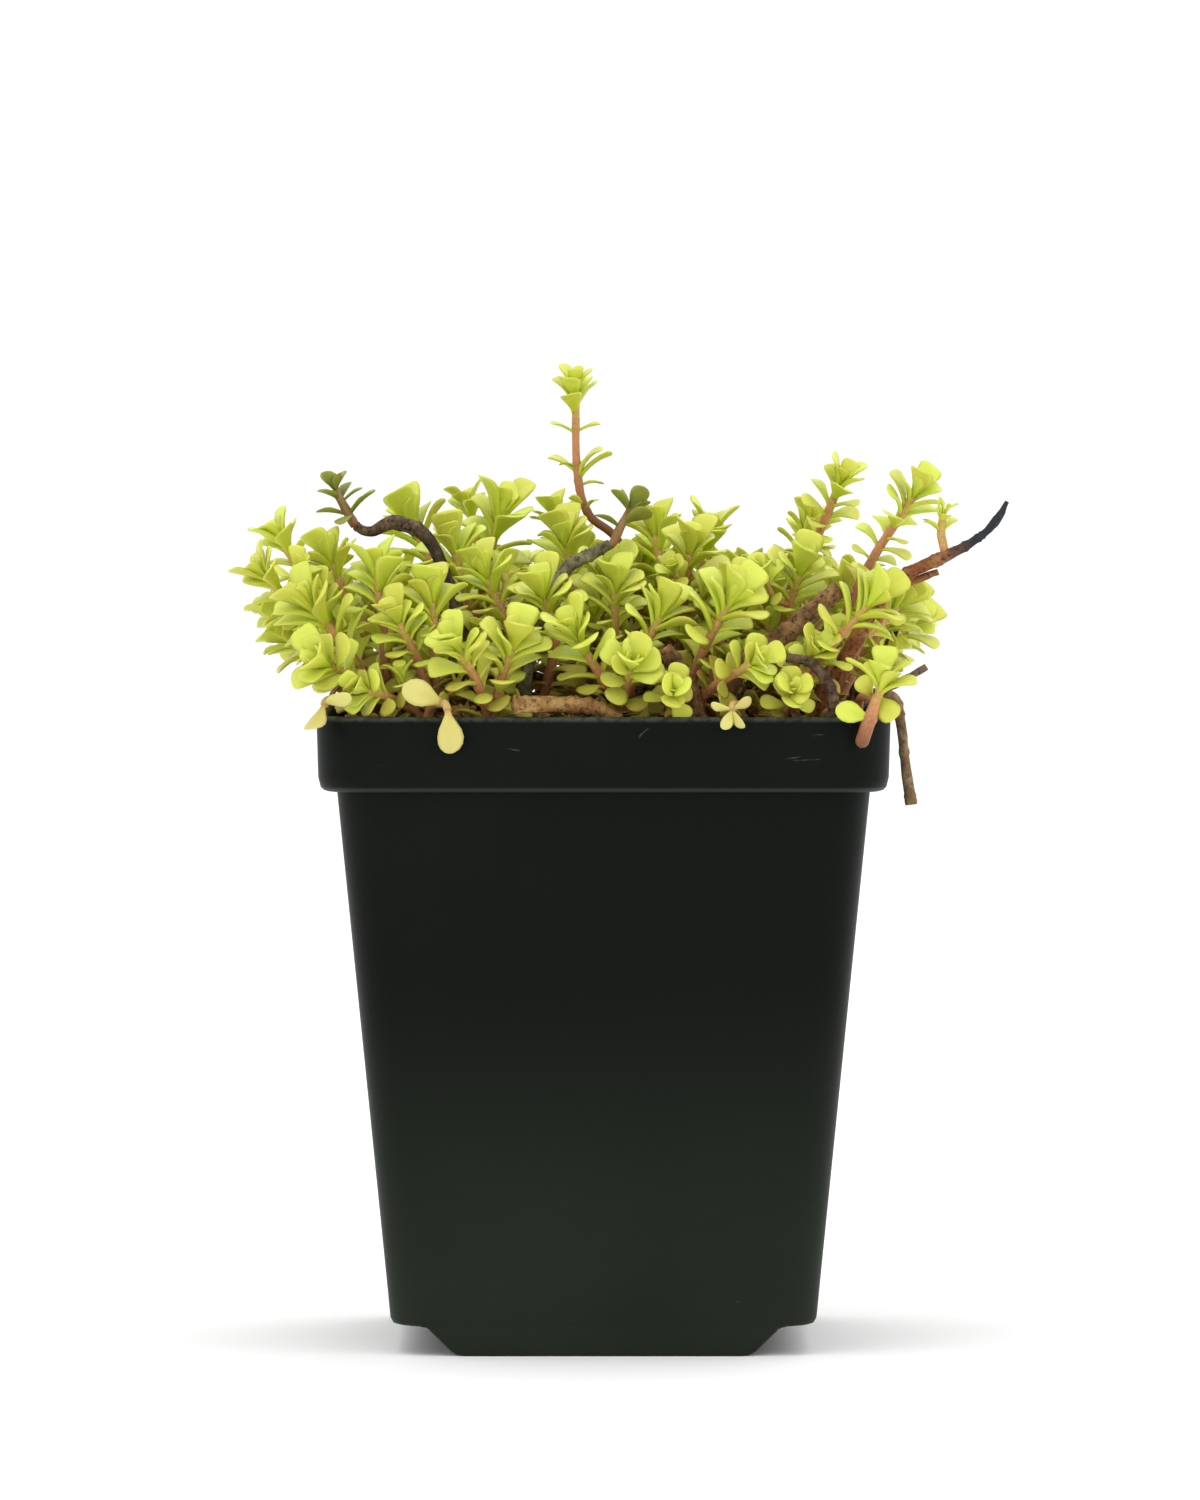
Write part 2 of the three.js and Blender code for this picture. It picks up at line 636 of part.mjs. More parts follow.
function leafOutShoot(stem, pairs, size, turn, node) {
  const rows = [...rosettePairs, ...stemPairs.slice(0, pairs)];
  rows.forEach((row, i) => {
    const t = paramBelow(stem.path, row.below * size);
    for (const side of [0, 180]) {
      const spread = row.spread + random(-spreadJitter, spreadJitter);
      const around = turn + 90 * i + side + random(-turnJitter, turnJitter);
      placeLeaf(stem, t, spread, around, row.size * size, node);
    }
  });
}

// Shoots of the mat: the ones set by hand, then the staggered grid between them
function planShoots() {
  const rootFor = ([x, y]) => [clamp(x * rootPull[0], rootLimit), clamp(y * rootPull[1], rootLimit)];
  const shoots = frontShoots.map((shoot) => ({ ...shoot, root: shoot.root || rootFor(shoot.tip) }));
  for (let row = 0; row < matRows; row += 1) {
    const y = matFront + ((matBack - matFront) * row) / (matRows - 1);
    const start = -matHalf + (row % 2) * (matPitch / 2);
    for (let x = start; x <= matHalf; x += matPitch) {
      const tip = [x + random(-matJitter, matJitter), y + random(-matJitter, matJitter), 0];
      tip[2] = matTop - matFall * (tip[0] ** 2 + tip[1] ** 2) + random(-matHeightJitter, matHeightJitter);
      const atEdge = Math.max(Math.abs(tip[0]), tip[1]) > edgeFrom;
      const size = random(...matSizes);
      if (shoots.every((shoot) => flat(shoot.tip, tip) > shootSpacing)) {
        shoots.push({ tip, pairs: atEdge ? edgePairs : 0, size, root: rootFor(tip) });
      }
    }
  }
  return shoots;
}

// Neighbouring shoots fork from one base, so that each node is one branched stem
function groupShoots(shoots) {
  const free = [...shoots];
  const groups = [];
  while (free.length) {
    const first = free.shift();
    const near = free.filter((s) => flat(s.root, first.root) < nodeReach);
    near.sort((a, b) => flat(a.root, first.root) - flat(b.root, first.root));
    const members = [first, ...near.slice(0, nodeShoots - 1)];
    near.slice(0, nodeShoots - 1).forEach((s) => free.splice(free.indexOf(s), 1));
    groups.push(members);
  }
  return groups;
}

// Moves a wanted root until its hole is clear of the others
function clearRoot(wanted, holes) {
  for (let i = 0; i < rootTries; i += 1) {
    const reach = rootStep * i;
    const spot = [
      clamp(wanted[0] + reach * Math.cos(spiralTurn * i), rootLimit),
      clamp(wanted[1] + reach * Math.sin(spiralTurn * i), rootLimit),
    ];
    if (holes.every((hole) => flat(spot, [hole.x, hole.y]) > hole.radius + rootSpacing)) {
      return spot;
    }
  }
  return wanted;
}

// How far a stem stays from the stems of other nodes, surface to surface
function stemClearance(stem, node) {
  let least = Infinity;
  for (let k = 1; k <= stemProbes; k += 1) {
    const p = pointOn(stem.path, k / stemProbes);
    for (const stretch of stretches) {
      if (stretch.node !== node) {
        least = Math.min(least, distanceToStretch(p, stretch) - stretch.radius - stemRadius);
      }
    }
  }
  return least;
}

// A shoot rises before it leans; its middle is pushed aside until it is clear of other nodes
function clearShoot(from, tip, node, isFork) {
  let best = null;
  let bestClearance = -Infinity;
  for (let i = 0; i < shootTries && bestClearance < stemClear; i += 1) {
    const push = pushStep * i;
    const middle = [
      from[0] + middleAcross * (tip[0] - from[0]) + push * Math.cos(spiralTurn * i),
      from[1] + middleAcross * (tip[1] - from[1]) + push * Math.sin(spiralTurn * i),
      from[2] + middleUp * (tip[2] - from[2]),
    ];
    const points = isFork ? [from, middle, tip] : rooted([from, middle, tip]);
    const stem = makeStem(points, stemTaper.map((part) => part * stemRadius), stemSides, false);
    const clearance = stemClearance(stem, node);
    if (clearance > bestClearance + betterBy) {
      best = stem;
      bestClearance = clearance;
    }
  }
  return best;
}

// Everything is first laid out, so that a leaf can keep clear of every stem, and only then made solid
const nodes = [];
const holes = [];

function openHole([x, y], radius) {
  holes.push({ x, y, radius: (radius + gap) / Math.cos(Math.PI / holeSides) });
}

for (const { name, points, radii } of woodyStems) {
  const stem = makeStem(rooted(points), [radii[0], ...radii], woodySides, true);
  openHole(points[0], radii[0]);
  addStretches(stem, name);
  nodes.push({ name, slot: 'bark', stems: [stem] });
}

for (const { name, slot, path, tail } of sideShoots) {
  const isRooted = path[0][2] === 0;
  const radii = [sideRadius, sideRadius, sideRadius * 0.85];
  const stems = [makeStem(isRooted ? rooted(path) : path, radii, stemSides, false)];
  if (isRooted) {
    openHole(path[0], sideRadius);
  }
  if (tail) {
    stems.push(makeStem(tail, [sideRadius, tailRadius, tailRadius], stemSides, false));
  }
  stems.forEach((stem) => addStretches(stem, name));
  nodes.push({ name, slot, stems });
}

const groups = groupShoots(planShoots());
groups.forEach((members, g) => {
  const name = `leafy_stem_${String(g + 1).padStart(2, '0')}`;
  const mean = [0, 1].map((axis) => members.reduce((sum, s) => sum + s.root[axis], 0) / members.length);
  const root = clearRoot(mean, holes);
  openHole(root, stemRadius);
  const stems = [];
  members.forEach((shoot, i) => {
    const from = i === 0 ? [...root, soilTop] : pointOn(stems[0].path, forkAt);
    stems.push(clearShoot(from, shoot.tip, name, i > 0));
  });
  stems.forEach((stem) => addStretches(stem, name));
  nodes.push({ name, slot: 'leaf', stems, members });
});

// Leaves set by hand go first, then the rosettes by rule
for (const { name, leaves: list, tailLeaves = [] } of sideShoots) {
  const { stems } = nodes.find((node) => node.name === name);
  for (const [stem, rows] of [[stems[0], list], [stems[1], tailLeaves]]) {
    for (const [t, pointing, size] of rows) {
      const tangent = tangentOn(stem.path, t);
      leaves.push(makeLeaf(pointOn(stem.path, t), tangent, pointing, size, name));
    }
  }
}
for (const { name, stems, members = [] } of nodes) {
  members.forEach((shoot, i) => leafOutShoot(stems[i], shoot.pairs, shoot.size, random(0, 90), name));
}

// One leaf: a five-cornered lens, narrow at its base and broad at its tip
function leafSolid(leaf) {
  const corners = leafOutline.length;
  const geometry = new THREE.SphereGeometry(1, corners, 2);
  const position = geometry.attributes.position;
  for (let i = 0; i < position.count; i += 1) {
    const height = position.getY(i);
    if (Math.abs(height) > 0.5) {
      const rise = (Math.sign(height) * leafThickness) / 2;
      position.setXYZ(i, ...add(leafPoint(leaf, leafCrown, 0), leaf.n, rise));
    } else {
      const turn = Math.atan2(-position.getZ(i), -position.getX(i)) / (2 * Math.PI);
      const [u, v] = leafOutline[Math.round(turn * corners + corners) % corners];
      position.setXYZ(i, ...leafPoint(leaf, u, v));
    }
  }
  return toSolid(geometry);
}

const materials = {
  leaf: [leafColour, 0.5],
  dark: [darkLeafColour, 0.5],
  pale: [paleLeafColour, 0.55],
  bark: [barkColour, 0.85],
};

const plant = new THREE.Group();
plant.add(toMesh(makePot(), 'pot', potColour, 0.45));
plant.add(toMesh(makeSoil(holes), 'soil', soilColour, 0.95));

for (const node of nodes) {
  const own = leaves.filter((leaf) => leaf.node === node.name);
  const whole = join([...node.stems.map(stemSolid), ...own.map(leafSolid)]);
  const body = largestPiece(largestPiece(whole).asOriginal().simplify(shortEdge));
  plant.add(toMesh(body, node.name, ...materials[node.slot]));
}

export default plant;
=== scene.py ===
import math

import bpy
import numpy as np
from mathutils import Matrix, Vector


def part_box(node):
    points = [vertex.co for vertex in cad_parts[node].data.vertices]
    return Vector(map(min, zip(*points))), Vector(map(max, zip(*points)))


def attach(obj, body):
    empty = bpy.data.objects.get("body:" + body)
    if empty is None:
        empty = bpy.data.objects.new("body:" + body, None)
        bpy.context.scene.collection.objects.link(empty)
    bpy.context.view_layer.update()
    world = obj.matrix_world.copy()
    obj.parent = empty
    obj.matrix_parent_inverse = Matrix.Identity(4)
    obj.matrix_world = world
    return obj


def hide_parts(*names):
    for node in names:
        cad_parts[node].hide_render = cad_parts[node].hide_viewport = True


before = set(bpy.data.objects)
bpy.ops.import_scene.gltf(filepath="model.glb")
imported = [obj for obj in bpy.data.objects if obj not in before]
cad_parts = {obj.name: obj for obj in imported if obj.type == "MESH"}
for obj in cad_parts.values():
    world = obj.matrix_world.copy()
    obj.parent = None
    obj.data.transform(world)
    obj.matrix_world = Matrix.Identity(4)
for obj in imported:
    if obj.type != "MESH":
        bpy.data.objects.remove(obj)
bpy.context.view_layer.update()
mm = 0.001  # the plant is laid out in millimetres and made in metres


# The plant's layout: every stem and leaf stands where the CAD has it

growth = {
    "seed": 2028,
    "soilTop": 97.0,
    "soilLump": 0.8,
    "holeDepth": 3.5,
    "holeGap": 0.3,
    "holeSides": 4,
    "uprightAbove": 1.3,
    "rimHalf": 44.5,
    "wall": 1.3,
    "potHeight": 100.2,
    "leafLength": 7.2,
    "leafWidth": 5.2,
    "leafThickness": 1.3,
    "leafCrown": 0.62,
    "leafCentre": 0.58,
    "leafHalf": 0.46,
    "leafClearance": 0.45,
    "leafStemClearance": 0.85,
    "spreadJitter": 5,
    "turnJitter": 9,
    "stemRadius": 0.85,
    "stemTaper": (1, 0.9, 0.8),
    "rootLimit": 38.5,
    "rootPull": (0.82, 0.86),
    "rootSpacing": 2.2,
    "forkAt": 0.3,
    "middleAcross": 0.45,
    "middleUp": 0.6,
    "stemClear": 0.6,
    "stemProbes": 12,
    "shootTries": 48,
    "pushStep": 0.2,
    "betterBy": 0.001,
    "rootTries": 60,
    "rootStep": 0.35,
    "spiralTurn": 2.4,
    "stretchesPerStem": 8,
    "matPitch": 10.4,
    "matHalf": 47,
    "matFront": -33,
    "matBack": 44,
    "matRows": 9,
    "matTop": 122,
    "matFall": 0.0032,
    "matJitter": 2.1,
    "matHeightJitter": 2.4,
    "matSizes": (0.9, 1.15),
    "edgeFrom": 36,
    "edgePairs": 2,
    "shootSpacing": 7.8,
    "nodeReach": 12.5,
    "nodeShoots": 3,
    "sideRadius": 0.7,
    "sideTaper": 0.85,
    "tailRadius": 1.1,
}

# leaf pairs from the tip down: angle from the stem, distance below the tip, size
rosettePairs = ((30, 0.5, 1), (50, 2.4, 1))
stemPairs = ((66, 6.6, 0.88), (74, 11.2, 0.8), (78, 16, 0.72))

# shoots at the front and flanks: tip, leaf pairs below the rosette, size, root where it is given
frontShoots = (
    ((-52.4, -20, 120.8), 2, 1), ((-50.7, 0, 125.7), 1, 0.95), ((-51.5, 8, 114.4), 1, 0.9),
    ((-49.2, -11, 110.6), 1, 0.85), ((-44.9, -32, 116.1), 1, 1.25), ((-42.5, -39, 108.1), 2, 1.15),
    ((-42.6, -15, 123), 1, 1.05), ((-35.3, -27, 121.3), 2, 1.1), ((-31.7, -35, 114.5), 1, 0.9),
    ((-30.1, 8, 127.9), 1, 1.3), ((-21.5, 22, 130.6), 1, 0.8), ((-16.8, 4, 129.3), 1, 1.3),
    ((-23.5, -8, 124.8), 1, 1.1), ((-18.1, -22, 120.8), 2, 1.05), ((-26.6, -31, 117.6), 2, 1.1),
    ((-22.1, -43, 110.3), 1, 1.05, (-23, -38.5)), ((-14.2, -39, 110.5), 2, 1.15),
    ((-5.9, -6, 125.4), 1, 1.15), ((-7.4, 12, 129.4), 1, 0.75), ((-9.2, -28, 118.2), 1, 1.1),
    ((-4, -37, 111.9), 2, 1.15), ((0.6, -15, 120), 1, 1.2), ((4.2, -40, 107.6), 1, 0.95),
    ((8.3, -2, 127.2), 1, 1.05), ((16.7, 8, 126.3), 1, 1.15), ((13.7, -12, 124.5), 1, 1.1),
    ((8.8, -32, 115.3), 2, 1.05), ((19.4, -35, 117.3), 2, 1.25), ((23, -42, 108.5), 2, 0.8),
    ((32.3, 4, 127.4), 1, 0.95), ((30.6, -21, 121.5), 2, 1.1), ((37.1, -6, 135), 3, 0.85),
    ((41, -39.5, 117.2), 2, 1.15), ((48.2, -27, 133.9), 3, 0.9), ((46.2, -20, 116.5), 1, 1),
    ((32.4, -38.5, 109.4), 1, 0.8), ((-36.5, -41, 104.2), 0, 0.75), ((10.6, -41.5, 104), 0, 0.75),
    ((29, -42, 103.8), 0, 0.7),
)

# old woody stems: the points each passes through and its radius at them
woodyStems = {
    "bark_twig_left": (
        ((-20, -10, 0), (-22, -11, 112), (-27, -12, 126), (-32.5, -12, 129.4), (-36.6, -12, 128),
         (-39.2, -12, 129)),
        (1, 1.1, 1.3, 1.6, 1.1, 0.9),
    ),
    "grey_twig_middle": (
        ((-13, -25.5, 0), (-10.8, -24, 112), (-6.5, -22, 121.7), (-2, -20.5, 124.6), (1, -19.6, 126.2)),
        (1, 1, 1.05, 1, 0.8),
    ),
    "long_twig_right": (
        ((33, -29, 0), (38.5, -32, 110), (43, -34.6, 119), (47.4, -36.4, 122.2), (54, -38, 125.4),
         (58.4, -38.8, 128), (60.8, -39.3, 130.6), (62.4, -39.6, 133.4)),
        (1.6, 1.6, 1.5, 1.4, 1.2, 0.9, 1.1, 0.6),
    ),
    "thick_stem_right": (
        ((17, -31.5, 0), (21.3, -33, 107.5), (26, -33, 111), (32, -32, 115.6), (36.6, -31, 119.6)),
        (1.7, 1.7, 1.7, 1.8, 1.6),
    ),
    "branched_stem_front": (
        ((14.4, -37, 0), (13.8, -36.6, 102), (11.9, -35.6, 106.8), (9.4, -35.4, 110.6)),
        (1.8, 1.7, 1.4, 1.2),
    ),
    "curved_twig_right": (
        ((35, -39, 0), (35.4, -40.4, 103.5), (32.4, -40, 108.2), (28.4, -39, 109.2)),
        (0.8, 0.9, 0.9, 0.9),
    ),
    "rim_stub_right": (
        ((37.5, -25, 0), (41, -27, 102.6), (45.5, -29, 104.6), (50.2, -30, 107.4)),
        (1, 1, 0.95, 0.9),
    ),
    "hanging_stem_right": (
        ((37.6, -17.5, 0), (41.6, -18.6, 102), (45.2, -19.4, 102.3), (46.5, -19.8, 98.6), (47.2, -20, 92.4),
         (48.2, -20.2, 85.4)),
        (0.9, 1, 1, 1, 0.9, 1.05),
    ),
    "tan_stub_front": (
        ((3, -38, 0), (-1.4, -39.4, 101.4), (-7, -41.4, 102), (-13.6, -44.4, 102.2)),
        (1.2, 1.25, 1.3, 1.3),
    ),
    "knobbly_twig_right": (
        ((38, -9, 0), (42.4, -9.6, 106), (45.2, -10, 110.4), (46.2, -10, 113.6), (45.2, -10, 116.6)),
        (0.9, 1, 0.9, 1.1, 0.8),
    ),
}

# shoots whose leaves are listed one by one: where each joins its stem (0 root, 1 tip), how it points, its
# size
sideShoots = {
    "dark_rosette_left": {
        "path": ((-39.6, -12, 129.9), (-40.4, -12, 132.2), (-42.2, -12, 137.4)),
        "leaves": (
            (0.3, (-1, -0.2, 0.1), 0.7), (0.3, (0.8, -0.3, 0.75), 0.8), (0.72, (-1, 0.2, 0.5), 0.55),
            (0.72, (1, -0.1, 0.7), 0.5), (0.98, (-0.6, -0.6, 1), 0.5), (0.98, (0.5, 0.6, 1), 0.5),
            (0.12, (-0.3, -0.9, -0.2), 0.6),
        ),
    },
    "dark_rosette_middle": {
        "path": ((1.6, -19.3, 126.6), (2.6, -18.3, 128.8), (4.2, -17, 131.6)),
        "leaves": (
            (0.5, (-1, -0.3, 0.5), 0.6), (0.6, (1, -0.2, 0.4), 0.7), (0.95, (-0.7, -0.4, 0.9), 0.6),
            (0.95, (0.6, -0.5, 1), 0.65),
        ),
    },
    "sprout_on_twig_right": {
        "path": ((52.6, -37.7, 126.5), (52.2, -38, 128.6), (52.5, -38.6, 131)),
        "leaves": (
            (0.5, (-1, -0.1, 0.7), 0.45), (0.95, (0.8, -0.2, 0.7), 0.45), (0.95, (-0.2, -0.3, 1), 0.45),
        ),
    },
    "tall_shoot_middle": {
        "path": ((6, 4, 0), (5.4, 3.4, 113), (2.6, 2, 125.6), (-2.4, 2, 130.5), (-4.2, 2, 137.6),
                 (-4.6, 2, 147.6)),
        "leaves": (
            (0.68, (-1, -0.3, 0.8), 0.45), (0.68, (0.6, -0.7, 0.6), 0.4), (0.93, (-1, -0.2, 0.4), 0.55),
            (0.93, (1, 0.1, 0.35), 0.55), (0.975, (-0.2, -1, 0.9), 0.7), (0.975, (0.3, 0.9, 1), 0.7),
            (0.995, (-0.75, 0.1, 1), 0.8), (0.995, (0.8, -0.2, 0.9), 0.75), (0.8, (1, -0.15, 1.5), 0.75),
            (0.8, (1, 0.1, 0.75), 0.95), (0.775, (0.95, 0.5, 0.1), 0.55), (0.84, (-1, -0.1, 0.1), 0.35),
        ),
    },
    "shoot_over_rim_right": {
        "path": ((39.6, -34.5, 0), (39.7, -37, 102.6), (41.2, -43, 103.4), (42.2, -46.2, 103.2),
                 (42.6, -46.4, 105.2)),
        "leaves": (
            (0.86, (1, -0.1, 0.35), 0.9), (0.97, (-0.9, -0.2, 0.75), 0.95), (0.97, (0.9, 0.2, 0.7), 0.85),
            (0.99, (-0.1, -1, 0.8), 0.8), (0.99, (0.15, 0.3, 1), 0.9),
        ),
        "tail": ((42.2, -46.2, 103.6), (40.9, -46.6, 99.8), (39.5, -47, 95.6)),
        "tailLeaves": ((0.45, (-0.95, -0.2, 0.25), 0.75),),
    },
    "pale_leaf_front": {
        "path": ((-27.5, -37.5, 0), (-26.6, -39.4, 101.6), (-24.6, -45, 102.4), (-24, -46.6, 101.4)),
        "leaves": ((0.97, (0.05, -0.1, -1), 0.95), (0.72, (-1, -0.25, 0.4), 0.95)),
    },
    "sprig_over_rim_front": {
        "path": ((21.5, -37, 0), (21, -40, 101.6), (20, -45.2, 102.2), (19.8, -46.4, 101.4)),
        "leaves": (
            (0.96, (-1, -0.2, 0.3), 0.42), (0.96, (0.9, -0.2, 0.6), 0.42), (0.97, (-0.5, -0.2, -1), 0.42),
            (0.97, (0.6, -0.2, -0.9), 0.42),
        ),
    },
    "pale_leaf_left_corner": {
        "path": ((-38.6, -36, 0), (-39.6, -37.4, 102), (-42.4, -41, 102.8), (-43.2, -42.2, 102)),
        "leaves": ((0.97, (-0.5, -0.8, -0.75), 0.8), (0.9, (0.8, -0.8, 0.3), 0.75)),
    },
}

# ways to bend a leaf that would cross a neighbour: change of spread, turn round the stem, size
leafBends = (
    (0, 0, 1), (-9, 0, 1), (0, 20, 1), (0, -20, 1), (-16, 12, 1), (-16, -12, 1), (10, 0, 1),
    (-10, 34, 1), (-10, -34, 1), (-22, 0, 0.95), (14, 22, 0.9), (14, -22, 0.9),
    (-24, 24, 0.85), (-24, -24, 0.85),
)
leafProbes = np.array((
    (0.35, 0), (0.66, 0), (0.66, 0.5), (0.66, -0.5), (0.85, 0.36), (0.85, -0.36),
    (1, 0), (1, 0.25), (1, -0.25),
))


def makeRandom(start):
    modulus = 2147483647
    state = [start]

    def draw(low=0.0, high=1.0):
        state[0] = (state[0] * 48271) % modulus
        return low + ((high - low) * state[0]) / modulus
    return draw


def vec(*values):
    return np.array(values, float)


def cross(a, b):
    return vec(a[1] * b[2] - a[2] * b[1], a[2] * b[0] - a[0] * b[2], a[0] * b[1] - a[1] * b[0])


def unit(a):
    return a / math.sqrt(a @ a)


def flat(a, b):
    return math.hypot(a[0] - b[0], a[1] - b[1])


def clampTo(value, limit):
    return max(-limit, min(limit, value))


def pointsOn(points, ts):
    # a smooth curve through the points, read at several places from 0 to 1
    points = np.asarray(points, float)
    spans = len(points) - 1
    place = spans * np.asarray(ts, float)
    k = np.floor(place).astype(int)
    w = place - k
    ending = (w == 0) & (k == spans)
    k[ending], w[ending] = spans - 1, 1
    padded = np.vstack((2 * points[0] - points[1], points, 2 * points[-1] - points[-2]))
    p0, p1, p2, p3 = (padded[k + i] for i in range(4))
    t0, t1 = 0.5 * (p2 - p0), 0.5 * (p3 - p1)
    w = w[:, None]
    return p1 + t0 * w + (-3 * p1 + 3 * p2 - 2 * t0 - t1) * w**2 + (2 * p1 - 2 * p2 + t0 + t1) * w**3


def pointOn(points, t):
    return pointsOn(points, [t])[0]


def tangentOn(points, t):
    low, high = pointsOn(points, [max(0, t - 0.01), min(1, t + 0.01)])
    return unit(high - low)


def sideways(tangent):
    across = vec(0, 1, 0) if abs(tangent[1]) < 0.9 else vec(1, 0, 0)
    first = unit(cross(across, tangent))
    return first, cross(tangent, first)


def rooted(points):
    # a stem starts at the bottom of its hole and stands upright to just above the soil
    x, y = points[0][:2]
    g = growth
    foot = g["soilTop"] - g["holeDepth"] + g["holeGap"]
    return [(x, y, foot), (x, y, g["soilTop"] + g["uprightAbove"]), *points[1:]]


def makeStem(points, radii, node):
    return {"points": np.asarray(points, float), "radii": list(radii), "node": node}


def radiusAt(stem, t):
    radii = stem["radii"]
    spans = len(radii) - 1
    k = min(spans - 1, math.floor(t * spans))
    return radii[k] + (radii[k + 1] - radii[k]) * (t * spans - k)


random = makeRandom(growth["seed"])
room = {"from": np.empty((0, 3)), "to": np.empty((0, 3)), "radius": np.empty(0), "node": np.empty(0, int)}
nodeNames = []
leaves = []
leafRoom = {"centre": [], "d": [], "s": [], "n": [], "half": [], "probes": [],
            "middle": np.empty((0, 3)), "reach": np.empty(0), "node": np.empty(0, int)}


def jitter(reach):
    return random(-reach, reach)


def nodeNumber(name):
    if name not in nodeNames:
        nodeNames.append(name)
    return nodeNames.index(name)


def addStretches(stem):
    count = growth["stretchesPerStem"]
    ends = pointsOn(stem["points"], [i / count for i in range(count + 1)])
    room["from"] = np.vstack((room["from"], ends[:-1]))
    room["to"] = np.vstack((room["to"], ends[1:]))
    radii = [radiusAt(stem, (i + 0.5) / count) for i in range(count)]
    room["radius"] = np.append(room["radius"], radii)
    room["node"] = np.append(room["node"], [nodeNumber(stem["node"])] * count)


def toStretches(points, node):
    # distance from each point to the surface of each stretch of another node's stems
    other = room["node"] != nodeNumber(node)
    start, along = room["from"][other], (room["to"] - room["from"])[other]
    if not len(start):
        return np.full((len(points), 1), np.inf)
    offset = points[:, None, :] - start[None]
    t = np.clip((offset * along[None]).sum(2) / (along * along).sum(1)[None], 0, 1)
    gapTo = offset - t[:, :, None] * along[None]
    return np.sqrt((gapTo * gapTo).sum(2)) - room["radius"][other][None]


def makeLeaf(base, tangent, pointing, size, node):
    # d is the way it points, s its width direction and n its upper face
    d = unit(pointing)
    s = unit(cross(tangent, d))
    g = growth
    return {
        "node": node, "base": base, "d": d, "s": s, "n": cross(d, s), "size": size,
        "length": g["leafLength"] * size, "width": g["leafWidth"] * size,
    }


def leafPoints(leaf, uv):
    uv = np.atleast_2d(uv)
    return leaf["base"] + uv[:, :1] * leaf["length"] * leaf["d"] + uv[:, 1:] * leaf["width"] * leaf["s"]


def middleOf(leaf, key):
    return leafPoints(leaf, (growth[key], 0))[0]


def halfSizes(leaf):
    # half length, width and thickness of the egg that stands for a leaf, with its clearance
    g = growth
    c = g["leafClearance"]
    return g["leafHalf"] * leaf["length"] + c, 0.5 * leaf["width"] + c, g["leafThickness"] / 2 + c


def eggDepth(offset, d, s, n, half):
    # under 1 where one of the points lies in the egg
    return ((offset @ d / half[0]) ** 2 + (offset @ s / half[1]) ** 2 + (offset @ n / half[2]) ** 2).min()


def keepLeaf(leaf):
    leaves.append(leaf)
    rows = leafRoom
    rows["centre"].append(middleOf(leaf, "leafCentre"))
    rows["middle"] = np.vstack((rows["middle"], middleOf(leaf, "leafCrown")))
    for key in "dsn":
        rows[key].append(leaf[key])
    rows["reach"] = np.append(rows["reach"], leaf["length"])
    rows["half"].append(halfSizes(leaf))
    rows["node"] = np.append(rows["node"], nodeNumber(leaf["node"]))
    rows["probes"].append(leafPoints(leaf, leafProbes))


def inPotOrSoil(points):
    g = growth
    half = np.maximum(abs(points[:, 0]), abs(points[:, 1]))
    clear = g["leafStemClearance"]
    inside = half < g["rimHalf"] - g["wall"] - clear
    low = points[:, 2] < g["soilTop"] + g["soilLump"] + clear
    atRim = (half < g["rimHalf"] + clear) & (points[:, 2] < g["potHeight"] + clear)
    return bool(np.any(np.where(inside, low, atRim)))


def isClear(leaf):
    probes = leafPoints(leaf, leafProbes)
    if inPotOrSoil(probes):
        return False
    if leaves:
        rows = leafRoom
        centre, mine = middleOf(leaf, "leafCentre"), halfSizes(leaf)
        apart = rows["middle"] - middleOf(leaf, "leafCrown")
        near = np.sqrt((apart * apart).sum(1)) < leaf["length"] + rows["reach"]
        near &= rows["node"] != nodeNumber(leaf["node"])
        for i in np.flatnonzero(near):
            theirs = [rows[key][i] for key in ("d", "s", "n", "half")]
            if eggDepth(probes - rows["centre"][i], *theirs) < 1:
                return False
            if eggDepth(rows["probes"][i] - centre, leaf["d"], leaf["s"], leaf["n"], mine) < 1:
                return False
    return bool(toStretches(probes, leaf["node"]).min() >= growth["leafStemClearance"])


def pointingFrom(stem, t, spread, turn):
    tangent = tangentOn(stem["points"], t)
    first, second = sideways(tangent)
    out = first * math.cos(math.radians(turn)) + second * math.sin(math.radians(turn))
    return tangent, tangent * math.cos(math.radians(spread)) + out * math.sin(math.radians(spread))


def placeLeaf(stem, t, spread, turn, size):
    base = pointOn(stem["points"], t)
    for bend, twist, shrink in leafBends:
        tangent, pointing = pointingFrom(stem, t, spread + bend, turn + twist)
        leaf = makeLeaf(base, tangent, pointing, size * shrink, stem["node"])
        if isClear(leaf):
            keepLeaf(leaf)
            return leaf
    return None


def paramBelow(points, below):
    ts = []
    t = 1.0
    while t > 0:
        ts.append(t)
        t -= 0.01
    gapTo = pointsOn(points, ts) - pointOn(points, 1)
    far = np.flatnonzero(np.sqrt((gapTo * gapTo).sum(1)) >= below)
    return ts[far[0]] if len(far) else 0


def rootFor(tip):
    return [clampTo(tip[i] * growth["rootPull"][i], growth["rootLimit"]) for i in (0, 1)]


